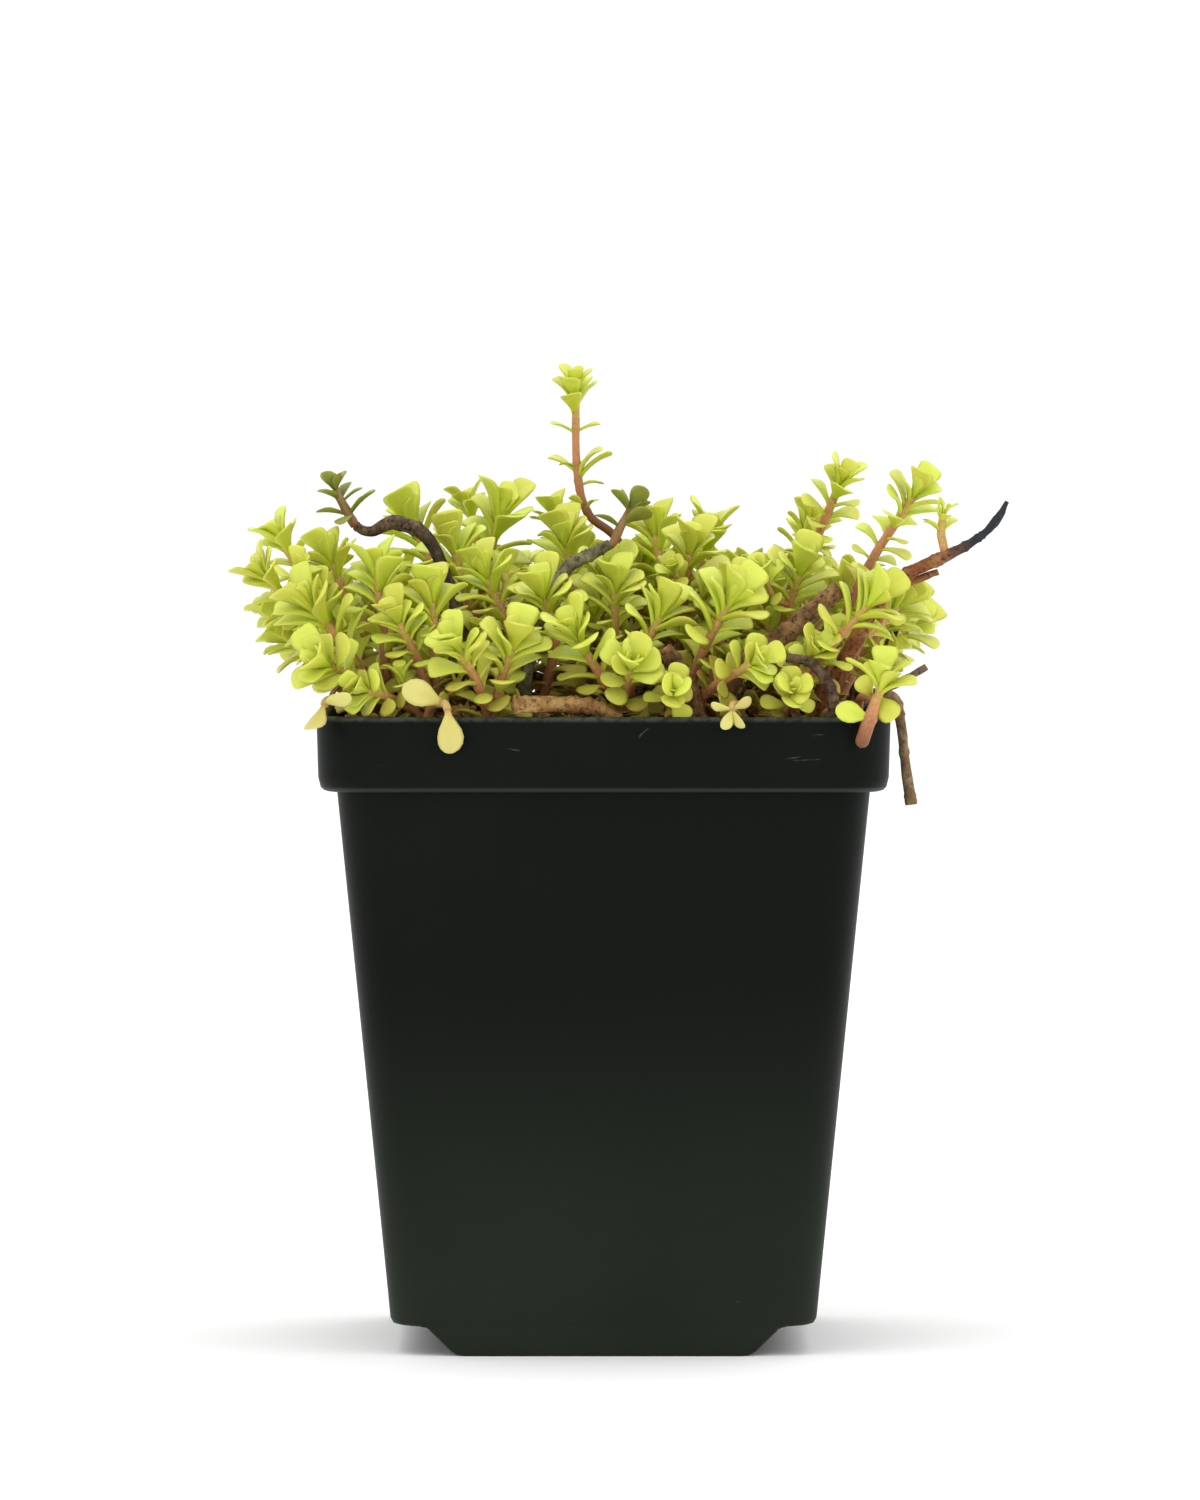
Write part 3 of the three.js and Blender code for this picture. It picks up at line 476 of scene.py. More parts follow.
def planShoots():
    g = growth
    shoots = []
    for tip, pairs, size, *given in frontShoots:
        root = list(given[0]) if given else rootFor(tip)
        shoots.append({"tip": tip, "pairs": pairs, "size": size, "root": root})
    for row in range(g["matRows"]):
        y = g["matFront"] + ((g["matBack"] - g["matFront"]) * row) / (g["matRows"] - 1)
        x = -g["matHalf"] + (row % 2) * (g["matPitch"] / 2)
        while x <= g["matHalf"]:
            tip = [x + jitter(g["matJitter"]), y + jitter(g["matJitter"]), 0]
            fall = g["matFall"] * (tip[0] ** 2 + tip[1] ** 2)
            tip[2] = g["matTop"] - fall + jitter(g["matHeightJitter"])
            pairs = g["edgePairs"] if max(abs(tip[0]), tip[1]) > g["edgeFrom"] else 0
            size = random(*g["matSizes"])
            if all(flat(s["tip"], tip) > g["shootSpacing"] for s in shoots):
                shoots.append({"tip": tip, "pairs": pairs, "size": size, "root": rootFor(tip)})
            x += g["matPitch"]
    return shoots


def groupShoots(shoots):
    free = list(shoots)
    groups = []
    while free:
        first = free.pop(0)
        near = [s for s in free if flat(s["root"], first["root"]) < growth["nodeReach"]]
        near.sort(key=lambda s: flat(s["root"], first["root"]))
        near = near[: growth["nodeShoots"] - 1]
        free = [s for s in free if not any(s is m for m in near)]
        groups.append([first, *near])
    return groups


def clearRoot(wanted, holes):
    g = growth
    for i in range(g["rootTries"]):
        reach = g["rootStep"] * i
        turn = g["spiralTurn"] * i
        spot = [clampTo(wanted[0] + reach * math.cos(turn), g["rootLimit"]),
                clampTo(wanted[1] + reach * math.sin(turn), g["rootLimit"])]
        if all(flat(spot, hole) > hole[2] + g["rootSpacing"] for hole in holes):
            return spot
    return wanted


def clearShoot(start, tip, node, isFork):
    g = growth
    best, bestClearance = None, -math.inf
    ts = [k / g["stemProbes"] for k in range(1, g["stemProbes"] + 1)]
    for i in range(g["shootTries"]):
        push, turn = g["pushStep"] * i, g["spiralTurn"] * i
        middle = (
            start[0] + g["middleAcross"] * (tip[0] - start[0]) + push * math.cos(turn),
            start[1] + g["middleAcross"] * (tip[1] - start[1]) + push * math.sin(turn),
            start[2] + g["middleUp"] * (tip[2] - start[2]),
        )
        points = [start, middle, tip] if isFork else rooted([start, middle, tip])
        stem = makeStem(points, [part * g["stemRadius"] for part in g["stemTaper"]], node)
        clearance = toStretches(pointsOn(stem["points"], ts), node).min() - g["stemRadius"]
        if clearance > bestClearance + g["betterBy"]:
            best, bestClearance = stem, clearance
        if bestClearance >= g["stemClear"]:
            break
    return best


def layOutPlant():
    g = growth
    stems, holes, shoots = {}, [], []

    def openHole(point, radius):
        holes.append((point[0], point[1], (radius + g["holeGap"]) / math.cos(math.pi / g["holeSides"])))

    for name, (points, radii) in woodyStems.items():
        stem = makeStem(rooted(points), (radii[0], *radii), name)
        openHole(points[0], radii[0])
        addStretches(stem)
        stems[name] = [stem]
    for name, shoot in sideShoots.items():
        isRooted = shoot["path"][0][2] == 0
        r = g["sideRadius"]
        path = rooted(shoot["path"]) if isRooted else shoot["path"]
        stems[name] = [makeStem(path, (r, r, r * g["sideTaper"]), name)]
        if isRooted:
            openHole(shoot["path"][0], r)
        if "tail" in shoot:
            stems[name].append(makeStem(shoot["tail"], (r, g["tailRadius"], g["tailRadius"]), name))
        for stem in stems[name]:
            addStretches(stem)
    for number, members in enumerate(groupShoots(planShoots())):
        name = f"leafy_stem_{number + 1:02d}"
        mean = [sum(m["root"][axis] for m in members) / len(members) for axis in (0, 1)]
        root = clearRoot(mean, holes)
        openHole(root, g["stemRadius"])
        stems[name] = []
        for i, shoot in enumerate(members):
            start = (*root, g["soilTop"])
            if i > 0:
                start = tuple(pointOn(stems[name][0]["points"], g["forkAt"]))
            stem = clearShoot(start, shoot["tip"], name, i > 0)
            stems[name].append(stem)
            shoots.append((stem, shoot))
        for stem in stems[name]:
            addStretches(stem)

    for name, shoot in sideShoots.items():
        for stem, rows in zip(stems[name], (shoot["leaves"], shoot.get("tailLeaves", ()))):
            for t, pointing, size in rows:
                base, tangent = pointOn(stem["points"], t), tangentOn(stem["points"], t)
                keepLeaf(makeLeaf(base, tangent, vec(*pointing), size, name))
    for stem, shoot in shoots:
        turn = random(0, 90)
        shoot["turn"] = turn
        for i, (spread, below, size) in enumerate((*rosettePairs, *stemPairs[: shoot["pairs"]])):
            t = paramBelow(stem["points"], below * shoot["size"])
            for side in (0, 180):
                tilt = spread + jitter(g["spreadJitter"])
                around = turn + 90 * i + side + jitter(g["turnJitter"])
                leaf = placeLeaf(stem, t, tilt, around, size * shoot["size"])
                if leaf:
                    leaf["row"] = i
    return stems, shoots


stems, shoots = layOutPlant()
print("laid out", len(stems), "stems and", len(leaves), "leaves")


# Small helpers for modelling by hand

def deselectAll():
    if bpy.context.mode != "OBJECT":
        bpy.ops.object.mode_set(mode="OBJECT")
    bpy.ops.object.select_all(action="DESELECT")


def makeActive(piece):
    deselectAll()
    piece.select_set(True)
    bpy.context.view_layer.objects.active = piece


def paint(piece, material):
    piece.data.materials.clear()
    piece.data.materials.append(material)


def linkNew(name, data):
    piece = bpy.data.objects.new(name, data)
    bpy.context.scene.collection.objects.link(piece)
    return piece


def joinPieces(name, parts):
    deselectAll()
    for part in parts:
        part.select_set(True)
    bpy.context.view_layer.objects.active = parts[0]
    if len(parts) > 1:
        bpy.ops.object.join()
    piece = bpy.context.view_layer.objects.active
    piece.name = piece.data.name = name
    return piece


def applyModifier(piece, kind, **settings):
    makeActive(piece)
    modifier = piece.modifiers.new(kind.lower(), kind)
    for key, value in settings.items():
        setattr(modifier, key, value)
    bpy.ops.object.modifier_apply(modifier=modifier.name)


def setValues(mesh, name, values):
    if name not in mesh.attributes:
        mesh.attributes.new(name, "FLOAT", "POINT")
    values = np.broadcast_to(np.asarray(values, np.float32), (len(mesh.vertices),))
    mesh.attributes[name].data.foreach_set("value", np.ascontiguousarray(values))


def vertexPlaces(mesh):
    places = np.empty(len(mesh.vertices) * 3)
    mesh.vertices.foreach_get("co", places)
    return places.reshape(-1, 3)


# Leaf shapes, each modelled once in millimetres: base at the origin, tip along +Z, upper face +Y

leafShape = {
    "sides": 8,
    "length": 7.3,
    "width": 4.9,
    "thickness": 0.8,
    # along the leaf: place, half width and half thickness as shares of the whole
    "wedge": ((0, 0.11, 0.5), (0.2, 0.13, 0.5), (0.4, 0.23, 0.52), (0.58, 0.355, 0.5), (0.72, 0.445, 0.46),
              (0.84, 0.46, 0.4), (0.925, 0.395, 0.32), (0.98, 0.26, 0.24), (1, 0.1, 0.12)),
    "broad": ((0, 0.12, 0.5), (0.18, 0.15, 0.5), (0.36, 0.27, 0.5), (0.53, 0.41, 0.48), (0.68, 0.495, 0.44),
              (0.8, 0.5, 0.4), (0.9, 0.43, 0.32), (0.965, 0.29, 0.24), (0.99, 0.11, 0.12)),
    "notched": ((0, 0.11, 0.5), (0.2, 0.14, 0.5), (0.4, 0.25, 0.5), (0.58, 0.38, 0.48), (0.73, 0.47, 0.44),
                (0.86, 0.48, 0.4), (0.95, 0.39, 0.32), (0.99, 0.24, 0.24), (0.968, 0.07, 0.14)),
    "round": ((0, 0.1, 0.5), (0.14, 0.13, 0.5), (0.3, 0.26, 0.52), (0.46, 0.4, 0.5), (0.62, 0.47, 0.46),
              (0.77, 0.44, 0.42), (0.89, 0.33, 0.34), (0.965, 0.19, 0.26), (0.995, 0.07, 0.12)),
    "slim": ((0, 0.1, 0.5), (0.2, 0.12, 0.5), (0.42, 0.19, 0.55), (0.6, 0.28, 0.52), (0.74, 0.34, 0.46),
             (0.85, 0.345, 0.4), (0.93, 0.28, 0.32), (0.98, 0.17, 0.24), (1, 0.06, 0.12)),
}

# outline, how far the sides rise, how far the tip bends back and how far it twists, in degrees
leafKinds = {
    "inner": ("wedge", 64, -20, 5),
    "spoon": ("wedge", 50, -44, 10),
    "spoonNotched": ("notched", 46, -48, -8),
    "wide": ("broad", 44, -38, -12),
    "open": ("broad", 34, -58, 14),
    "openNotched": ("notched", 38, -50, -10),
    "bent": ("wedge", 34, -74, -16),
    "bentSlim": ("slim", 40, -66, 18),
    "cup": ("round", 54, -34, 6),
    "disc": ("round", 26, -46, -8),
    "bud": ("slim", 84, 6, 0),
    "dry": ("slim", 150, -110, 50),
}


def modelLeaf(kind):
    outline, rise, bendBack, twist = leafKinds[kind]
    s = leafShape
    deselectAll()
    bpy.ops.mesh.primitive_circle_add(vertices=s["sides"], radius=1, fill_type="NGON")
    leaf = bpy.context.active_object
    bpy.ops.object.mode_set(mode="EDIT")
    bpy.ops.mesh.select_all(action="SELECT")
    place, half, thick = 0, 1, 1
    for i, (share, halfShare, thickShare) in enumerate(s[outline]):
        z, newHalf, newThick = share * s["length"], halfShare * s["width"], thickShare * s["thickness"]
        if i:
            bpy.ops.mesh.extrude_region_move(TRANSFORM_OT_translate={"value": (0, 0, z - place)})
        bpy.ops.transform.resize(value=(newHalf / half, newThick / thick, 1), center_override=(0, 0, z))
        place, half, thick = z, newHalf, newThick
    bpy.ops.mesh.select_all(action="SELECT")
    bpy.ops.mesh.normals_make_consistent(inside=False)
    bpy.ops.object.mode_set(mode="OBJECT")
    flatPlaces = vertexPlaces(leaf.data)
    setValues(leaf.data, "along", flatPlaces[:, 2] / s["length"])
    setValues(leaf.data, "across", flatPlaces[:, 0] / (s["width"] / 2))
    bpy.ops.object.shade_smooth()
    for method, axis, degrees in (("BEND", "Z", rise), ("TWIST", "Z", twist), ("BEND", "X", bendBack)):
        angle = math.radians(degrees)
        applyModifier(leaf, "SIMPLE_DEFORM", deform_method=method, deform_axis=axis, angle=angle)
    leaf.rotation_euler.x = math.radians(bendBack / 2)  # the line from base to tip stays upright
    bpy.ops.object.transform_apply(location=True, rotation=True, scale=True)
    mesh = leaf.data
    bpy.data.objects.remove(leaf)
    return mesh


leafMeshes = {kind: modelLeaf(kind) for kind in leafKinds}
print("modelled", len(leafMeshes), "leaf shapes")


# Materials: shared effects are node groups, each finish is a short function

def addNode(tree, kind, **settings):
    node = tree.nodes.new("ShaderNode" + kind)
    for key, value in settings.items():
        setattr(node, key, value)
    return node


def startGroup(name, colours, values=()):
    # a shared effect: colours and values go in; a colour, a roughness and a height come out
    group = bpy.data.node_groups.new(name, "ShaderNodeTree")
    sockets = [(key, "INPUT", "Color") for key in colours] + [(key, "INPUT", "Float") for key in values]
    sockets += [("Color", "OUTPUT", "Color"), ("Roughness", "OUTPUT", "Float"), ("Height", "OUTPUT", "Float")]
    for key, way, kind in sockets:
        group.interface.new_socket(key, in_out=way, socket_type="NodeSocket" + kind)
    return group, group.nodes.new("NodeGroupInput").outputs, group.nodes.new("NodeGroupOutput").inputs


def feed(tree, socket, value):
    if isinstance(value, bpy.types.NodeSocket):
        tree.links.new(value, socket)
    else:
        socket.default_value = value


def mathOf(tree, operation, first, second=0.0, clamp=False):
    node = addNode(tree, "Math", operation=operation, use_clamp=clamp)
    feed(tree, node.inputs[0], first)
    feed(tree, node.inputs[1], second)
    return node.outputs[0]


def times(tree, first, second, clamp=False):
    return mathOf(tree, "MULTIPLY", first, second, clamp)


def plus(tree, first, second):
    return mathOf(tree, "ADD", first, second)


def plain(tree, value):
    return mathOf(tree, "ABSOLUTE", value)


def mixOf(tree, factor, first, second):
    node = addNode(tree, "Mix", data_type="RGBA")
    feed(tree, node.inputs[0], factor)
    feed(tree, node.inputs[6], first)
    feed(tree, node.inputs[7], second)
    return node.outputs[2]


def rampOf(tree, factor, low, high, fromValue=0.0, toValue=1.0):
    # 0 to 1 as the factor goes from low to high, eased at both ends
    node = addNode(tree, "MapRange", interpolation_type="SMOOTHSTEP")
    feed(tree, node.inputs["Value"], factor)
    for key, value in (("From Min", low), ("From Max", high), ("To Min", fromValue), ("To Max", toValue)):
        node.inputs[key].default_value = value
    return node.outputs["Result"]


def colourRamp(tree, factor, stops):
    node = addNode(tree, "ValToRGB")
    ramp = node.color_ramp
    while len(ramp.elements) < len(stops):
        ramp.elements.new(0.5)
    for element, (place, colour) in zip(ramp.elements, stops):
        element.position = place
        element.color = linear(colour)
    feed(tree, node.inputs["Fac"], factor)
    return node.outputs["Color"]


def linear(colour):
    # a colour from 0 to 255 as it looks on a screen, as the shader's linear value
    return (*(((c / 255 + 0.055) / 1.055) ** 2.4 if c > 10 else c / 255 / 12.92 for c in colour), 1)


def noiseOf(tree, place, scale, detail, roughness=0.55):
    node = addNode(tree, "TexNoise")
    feed(tree, node.inputs["Vector"], place)
    node.inputs["Scale"].default_value = scale
    node.inputs["Detail"].default_value = detail
    node.inputs["Roughness"].default_value = roughness
    return node.outputs["Fac"]


def startMaterial(name, roughness, specular):
    material = bpy.data.materials.new(name)
    material.use_nodes = True
    tree = material.node_tree
    shader = tree.nodes["Principled BSDF"]
    shader.inputs["Roughness"].default_value = roughness
    shader.inputs["Specular IOR Level"].default_value = specular
    return material, tree, shader


def objectPlace(tree):
    return addNode(tree, "TexCoord").outputs["Object"]


def splitPlace(tree, place):
    split = addNode(tree, "SeparateXYZ")
    tree.links.new(place, split.inputs[0])
    return split.outputs


def addBump(tree, shader, height, strength, distance):
    bump = addNode(tree, "Bump")
    bump.inputs["Strength"].default_value = strength
    bump.inputs["Distance"].default_value = distance
    feed(tree, bump.inputs["Height"], height)
    tree.links.new(bump.outputs["Normal"], shader.inputs["Normal"])


def placeGroup(tree, group, **values):
    node = tree.nodes.new("ShaderNodeGroup")
    node.node_tree = group
    for key, value in values.items():
        feed(tree, node.inputs[key], value)
    return node.outputs


# leaf tones: where each change begins and ends, and the shares it goes from and to
leafSteps = {
    "old": (0.3, 1.0),
    "dried": (1.15, 1.5),
    "inward": (0.0, 0.85, 1, 0),
    "low": (0.15, 0.8, 1, 0),
    "young": (0.1, 0.8, 1, 0.25),
    "foot": (0.02, 0.26, 1, 0),
    "footAge": (0, 0.6, 0.2, 0.7),
    "tip": (0.88, 1.0),
    "tipAge": (0.45, 1.0, 0, 0.6),
    "hue": (0, 1, 0.492, 0.508),
    "bare": (0.35, 1.15),
    "greenStalk": (0.0, 0.28, 0.4, 0),
    "flecks": (0.35, 0.75, 0, 0.35),
    "groove": (0.0, 0.14, 0, 1),
    # noises: scale and detail
    "mottle": (420, 4),
    "fine": (1900, 2),
    "rings": (900, 3),
    # how much each source adds
    "mottleAge": 0.3,
    # painted shade in the hearts of the rosettes: its share at a leaf's base, and the least of it towards the
    # edges
    "heartShade": 0.75,
    "heartShadeLeast": 0.35,
    "tintShade": 0.18,
    "mottleShade": 0.2,
    "leastShade": 0.86,
    "ringAge": 0.25,
    "ageRough": 0.16,
    "fineRough": 0.14,
    "leastRough": 0.34,
    "grooveHeight": 0.35,
    "noiseHeight": 0.5,
}


def buildLeafTones():
    # colour of growth: leaf age and place along and across the blade, and the stem's own tones
    s = leafSteps
    group, given, result = startGroup("leafTones", ("Fresh", "HeartShade", "Old", "Dry", "Stem", "Bark"))

    def ramp(factor, key):
        return rampOf(group, factor, *s[key])

    along, across, grownAge, tint, stemness = (
        addNode(group, "Attribute", attribute_name=name).outputs["Fac"]
        for name in ("along", "across", "age", "tint", "stemness"))
    place = objectPlace(group)
    mottle, fine, rings = (noiseOf(group, place, *s[key]) for key in ("mottle", "fine", "rings"))

    age = plus(group, grownAge, times(group, plus(group, mottle, -0.5), s["mottleAge"]))
    blade = mixOf(group, ramp(age, "old"), given["Fresh"], given["Old"])
    blade = mixOf(group, ramp(grownAge, "dried"), blade, given["Dry"])
    # painted shade: towards its base and midline a young leaf goes to the darker heart tone, as the shade in
    # the heart of its rosette
    inward = plus(group, ramp(plain(group, across), "inward"), s["heartShadeLeast"])
    heartShade = times(group, times(group, ramp(along, "low"), s["heartShade"]), inward)
    blade = mixOf(group, times(group, heartShade, ramp(grownAge, "young"), True), blade, given["HeartShade"])
    foot = times(group, ramp(along, "foot"), ramp(grownAge, "footAge"))
    blade = mixOf(group, foot, blade, given["Stem"])
    tip = times(group, ramp(along, "tip"), ramp(age, "tipAge"))
    blade = mixOf(group, tip, blade, given["Stem"])
    shade = plus(group, times(group, tint, s["tintShade"]), times(group, mottle, s["mottleShade"]))
    bright = addNode(group, "HueSaturation")
    feed(group, bright.inputs["Hue"], ramp(tint, "hue"))
    feed(group, bright.inputs["Value"], plus(group, shade, s["leastShade"]))
    feed(group, bright.inputs["Color"], blade)

    bare = ramp(plus(group, age, times(group, rings, s["ringAge"])), "bare")
    stalk = mixOf(group, bare, given["Stem"], given["Bark"])
    stalk = mixOf(group, ramp(grownAge, "greenStalk"), stalk, given["Fresh"])
    stalk = mixOf(group, ramp(fine, "flecks"), stalk, given["Bark"])
    group.links.new(mixOf(group, stemness, bright.outputs["Color"], stalk), result["Color"])
    dull = plus(group, times(group, grownAge, s["ageRough"]), times(group, fine, s["fineRough"]))
    group.links.new(plus(group, dull, s["leastRough"]), result["Roughness"])
    groove = times(group, ramp(plain(group, across), "groove"), s["grooveHeight"])
    grain = times(group, plus(group, mottle, fine), s["noiseHeight"])
    group.links.new(plus(group, groove, grain), result["Height"])
    return group


leafTones = buildLeafTones()

# leaf finishes: fresh blade, the painted shade of its heart, old blade, dried blade, young stem, bare stem
growthFinish = {
    "leaf": {"Fresh": (202, 208, 80), "HeartShade": (184, 197, 50), "Old": (164, 142, 56), "Dry": (118, 76, 42),
             "Stem": (200, 138, 94), "Bark": (124, 76, 46)},
    "dark": {"Fresh": (136, 142, 56), "HeartShade": (98, 112, 38), "Old": (136, 122, 58), "Dry": (110, 76, 42),
             "Stem": (146, 92, 60), "Bark": (92, 56, 36)},
    "pale": {"Fresh": (208, 202, 118), "HeartShade": (198, 190, 92), "Old": (200, 168, 100), "Dry": (158, 114, 66),
             "Stem": (196, 146, 92), "Bark": (140, 92, 54)},
    "subsurface": 0.15,
    "depth": 0.0016,
    "reach": (0.9, 0.8, 0.25),
    "roughness": 0.4,
    "specular": 0.34,
    "bump": 0.3,
    "bumpDepth": 0.00018,
}


def growthMaterial(slot):
    f = growthFinish
    material, tree, shader = startMaterial(slot + "Growth", f["roughness"], f["specular"])
    tones = placeGroup(tree, leafTones, **{key: linear(colour) for key, colour in f[slot].items()})
    tree.links.new(tones["Color"], shader.inputs["Base Color"])
    tree.links.new(tones["Roughness"], shader.inputs["Roughness"])
    shader.inputs["Subsurface Weight"].default_value = f["subsurface"]
    shader.inputs["Subsurface Radius"].default_value = f["reach"]
    shader.inputs["Subsurface Scale"].default_value = f["depth"]
    addBump(tree, shader, tones["Height"], f["bump"], f["bumpDepth"])
    return material


# bark: noises by scale, detail and roughness, then where each change begins and ends
barkSteps = {
    "patchNoise": (260, 4, 0.6),
    "fleckNoise": (1100, 4, 0.7),
    "fineNoise": (3200, 3, 0.6),
    "patches": (0.4, 0.62),
    "flecks": (0.5, 0.64),
    "toEnd": (-0.08, 0.1),
    "pale": (0.62, 0.74, 0, 0.45),
    "rough": (0.3, 0.7, 0.62, 0.85),
    "crack": (0.0, 0.06, 0, 1),
    "crackHeight": 0.6,
    "fineHeight": 0.6,
    "roughness": 0.7,
    "specular": 0.28,
    "bump": 0.7,
    "bumpDepth": 0.0003,
    "end": (30, 32, 38),
    "endFrom": 2.0,
}


def buildBarkTones():
    # old wood: patches of three tones, streaks round the twig, and cracks
    s = barkSteps
    group, given, result = startGroup("barkTones", ("Main", "Light", "Dark", "End"), ("EndFrom",))

    def ramp(factor, key):
        return rampOf(group, factor, *s[key])

    place = objectPlace(group)
    along = addNode(group, "Attribute", attribute_name="along").outputs["Fac"]
    patches, flecks, fine = (
        noiseOf(group, place, *s[key]) for key in ("patchNoise", "fleckNoise", "fineNoise"))
    colour = mixOf(group, ramp(patches, "patches"), given["Main"], given["Light"])
    colour = mixOf(group, ramp(flecks, "flecks"), colour, given["Dark"])
    toEnd = ramp(mathOf(group, "SUBTRACT", along, given["EndFrom"]), "toEnd")
    colour = mixOf(group, toEnd, colour, given["End"])
    group.links.new(mixOf(group, ramp(fine, "pale"), colour, given["Light"]), result["Color"])
    group.links.new(ramp(flecks, "rough"), result["Roughness"])
    crack = ramp(plain(group, plus(group, flecks, -0.5)), "crack")
    height = plus(group, times(group, crack, s["crackHeight"]), times(group, fine, s["fineHeight"]))
    group.links.new(height, result["Height"])
    return group


barkTones = buildBarkTones()


def barkMaterial(name, main, light, dark, end=barkSteps["end"], endFrom=barkSteps["endFrom"]):
    s = barkSteps
    material, tree, shader = startMaterial(name, s["roughness"], s["specular"])
    tones = placeGroup(tree, barkTones, Main=linear(main), Light=linear(light), Dark=linear(dark),
                       End=linear(end), EndFrom=endFrom)
    tree.links.new(tones["Color"], shader.inputs["Base Color"])
    tree.links.new(tones["Roughness"], shader.inputs["Roughness"])
    addBump(tree, shader, tones["Height"], s["bump"], s["bumpDepth"])
    return material


# Green growth: stems, the leaves of the layout, and the smaller leaves between them

dressing = {
    "stem": {"step": 0.9, "sides": 8, "swell": 0.16, "reach": 0.55, "round": 0.0},
    "tail": {"step": 0.2, "sides": 12, "swell": 0.16, "reach": 0.55, "round": 1.1},
    "oldAt": 24,
    "bud": ((14, 0.05, 0.5), (24, 0.25, 0.66)),
    "between": ((26, 0.35, 0.74, 45), (42, 1.4, 0.82, 135), (58, 4.3, 0.9, 135), (70, 8.8, 0.72, 225),
                (76, 13.6, 0.64, 315), (82, 18.4, 0.6, 45)),
    "below": ((66, 6.6, 0.84), (74, 11.2, 0.76), (80, 16, 0.68), (84, 20.6, 0.6)),
    "turnJitter": 14,
    "budJitter": 7,
    "sprigJitter": 8,
    "sizes": (0.85, 1.1),
    "ageJitter": (-0.08, 0.12),
    "leafGap": -0.15,
    "stemGap": 0.3,
    "sprigsAt": (4.6, 9.5, 15),
    "sprigRoom": 2.8,
    "sprigTop": 122,
    "sprigFront": -22,
    "sprigReach": (3.4, 7),
    "sprigLift": (1, 6),
    "sprigHeadings": 12,
    "sprigLimit": 49,
    "sprigRadii": (0.55, 0.5, 0.42),
    "sprigFrom": 0.2,
    "sprigBend": (0.12, 0.12, -0.25),
    "sprigAges": (0.12, 0.1),
    "sprigRows": ((16, 0.05, 0.42), (36, 0.5, 0.6), (58, 2.0, 0.62), (72, 4.2, 0.52)),
    "crowdBelow": 3,
    "crowdSize": 0.9,
    "crowdHalf": 42,
    "crowdFront": -24,
    "crowdBack": 38,
    # painted shade deep in the mat: leaves whose base lies below 107 mm are aged by 0.36 more, which darkens
    # them and dries more of them
    "deepBelow": 107,
    "deepShadeAge": 0.36,
    "tailAge": 1.0,
    "youngTo": 2.5,
    "dryFrom": 0.78,
    "dryShare": 0.22,
    "driedBy": 0.6,
    "sizePower": 0.85,
    "sideAges": {"dark": 0.25, "pale": 0.42, "leaf": 0.12},
}
sideSlots = {
    "dark_rosette_left": "dark", "dark_rosette_middle": "dark", "pale_leaf_front": "pale",
    "sprig_over_rim_front": "pale", "pale_leaf_left_corner": "pale",
}
kindsByRow = {
    -1: ("bud", "inner"),
    0: ("inner", "spoon", "wide", "spoonNotched"),
    1: ("spoon", "spoonNotched", "wide", "open"),
    2: ("open", "bent", "openNotched", "spoon"),
    3: ("bent", "open", "bentSlim"),
}


def stemMesh(name, stem, swells, form):
    # a tube through the stem's points, a little thicker where leaves join it
    points = stem["points"]
    spots = pointsOn(points, np.linspace(0, 1, 25))
    length = float(np.sqrt(((spots[1:] - spots[:-1]) ** 2).sum(1)).sum())
    count = max(6, int(length / form["step"]))
    ts = np.linspace(0, 1, count)
    places = pointsOn(points, ts)
    curve = bpy.data.curves.new(name, "CURVE")
    curve.dimensions = "3D"
    curve.bevel_depth = mm
    curve.bevel_resolution = (form["sides"] - 4) // 2
    curve.use_fill_caps = True
    spline = curve.splines.new("POLY")
    spline.points.add(count - 1)
    for i, t in enumerate(ts):
        bulges = [math.exp(-(((t - s) * length / form["reach"]) ** 2)) for s in swells]
        swell = 1 + form["swell"] * max([0] + bulges)
        if (1 - t) * length < form["round"]:
            # a little over 1 keeps the rounded end from closing to a point
            swell *= math.sqrt(1.004 - (1 - (1 - t) * length / form["round"]) ** 2)
        spline.points[i].co = (*(places[i] * mm), 1)
        spline.points[i].radius = radiusAt(stem, min(t, 0.9999)) * swell
    makeActive(linkNew(name, curve))
    bpy.ops.object.convert(target="MESH")
    bpy.ops.object.mode_set(mode="EDIT")
    bpy.ops.mesh.select_all(action="SELECT")
    bpy.ops.mesh.remove_doubles(threshold=1e-7)
    bpy.ops.mesh.normals_make_consistent(inside=False)
    bpy.ops.object.mode_set(mode="OBJECT")
    bpy.ops.object.shade_smooth()
    tube = bpy.context.view_layer.objects.active
    spots = vertexPlaces(tube.data)
    nearest = ((spots[:, None] - (places * mm)[None]) ** 2).sum(2).argmin(1)
    return tube, ts[nearest], length


def growTube(name, stem, swells, isTail=False):
    tube, ts, length = stemMesh(name, stem, swells, dressing["tail" if isTail else "stem"])
    setValues(tube.data, "along", ts)
    setValues(tube.data, "across", 1)
    age = ts * dressing["tailAge"] if isTail else (1 - ts) * length / dressing["oldAt"]
    setValues(tube.data, "age", np.clip(age, 0, 1))
    setValues(tube.data, "tint", random())
    setValues(tube.data, "stemness", 1)
    return tube


def growLeaf(leaf, kind, age):
    mesh = leafMeshes[kind].copy()
    size = leaf["size"] ** dressing["sizePower"] * mm
    turn = Matrix(np.column_stack((leaf["s"], leaf["n"], leaf["d"])).tolist()).to_4x4()
    mesh.transform(Matrix.Translation(Vector(leaf["base"] * mm)) @ turn @ Matrix.Scale(size, 4))
    setValues(mesh, "age", age)
    setValues(mesh, "tint", random())
    setValues(mesh, "stemness", 0)
    return linkNew("leaf", mesh)


def pick(choices):
    return choices[min(len(choices) - 1, int(random() * len(choices)))]


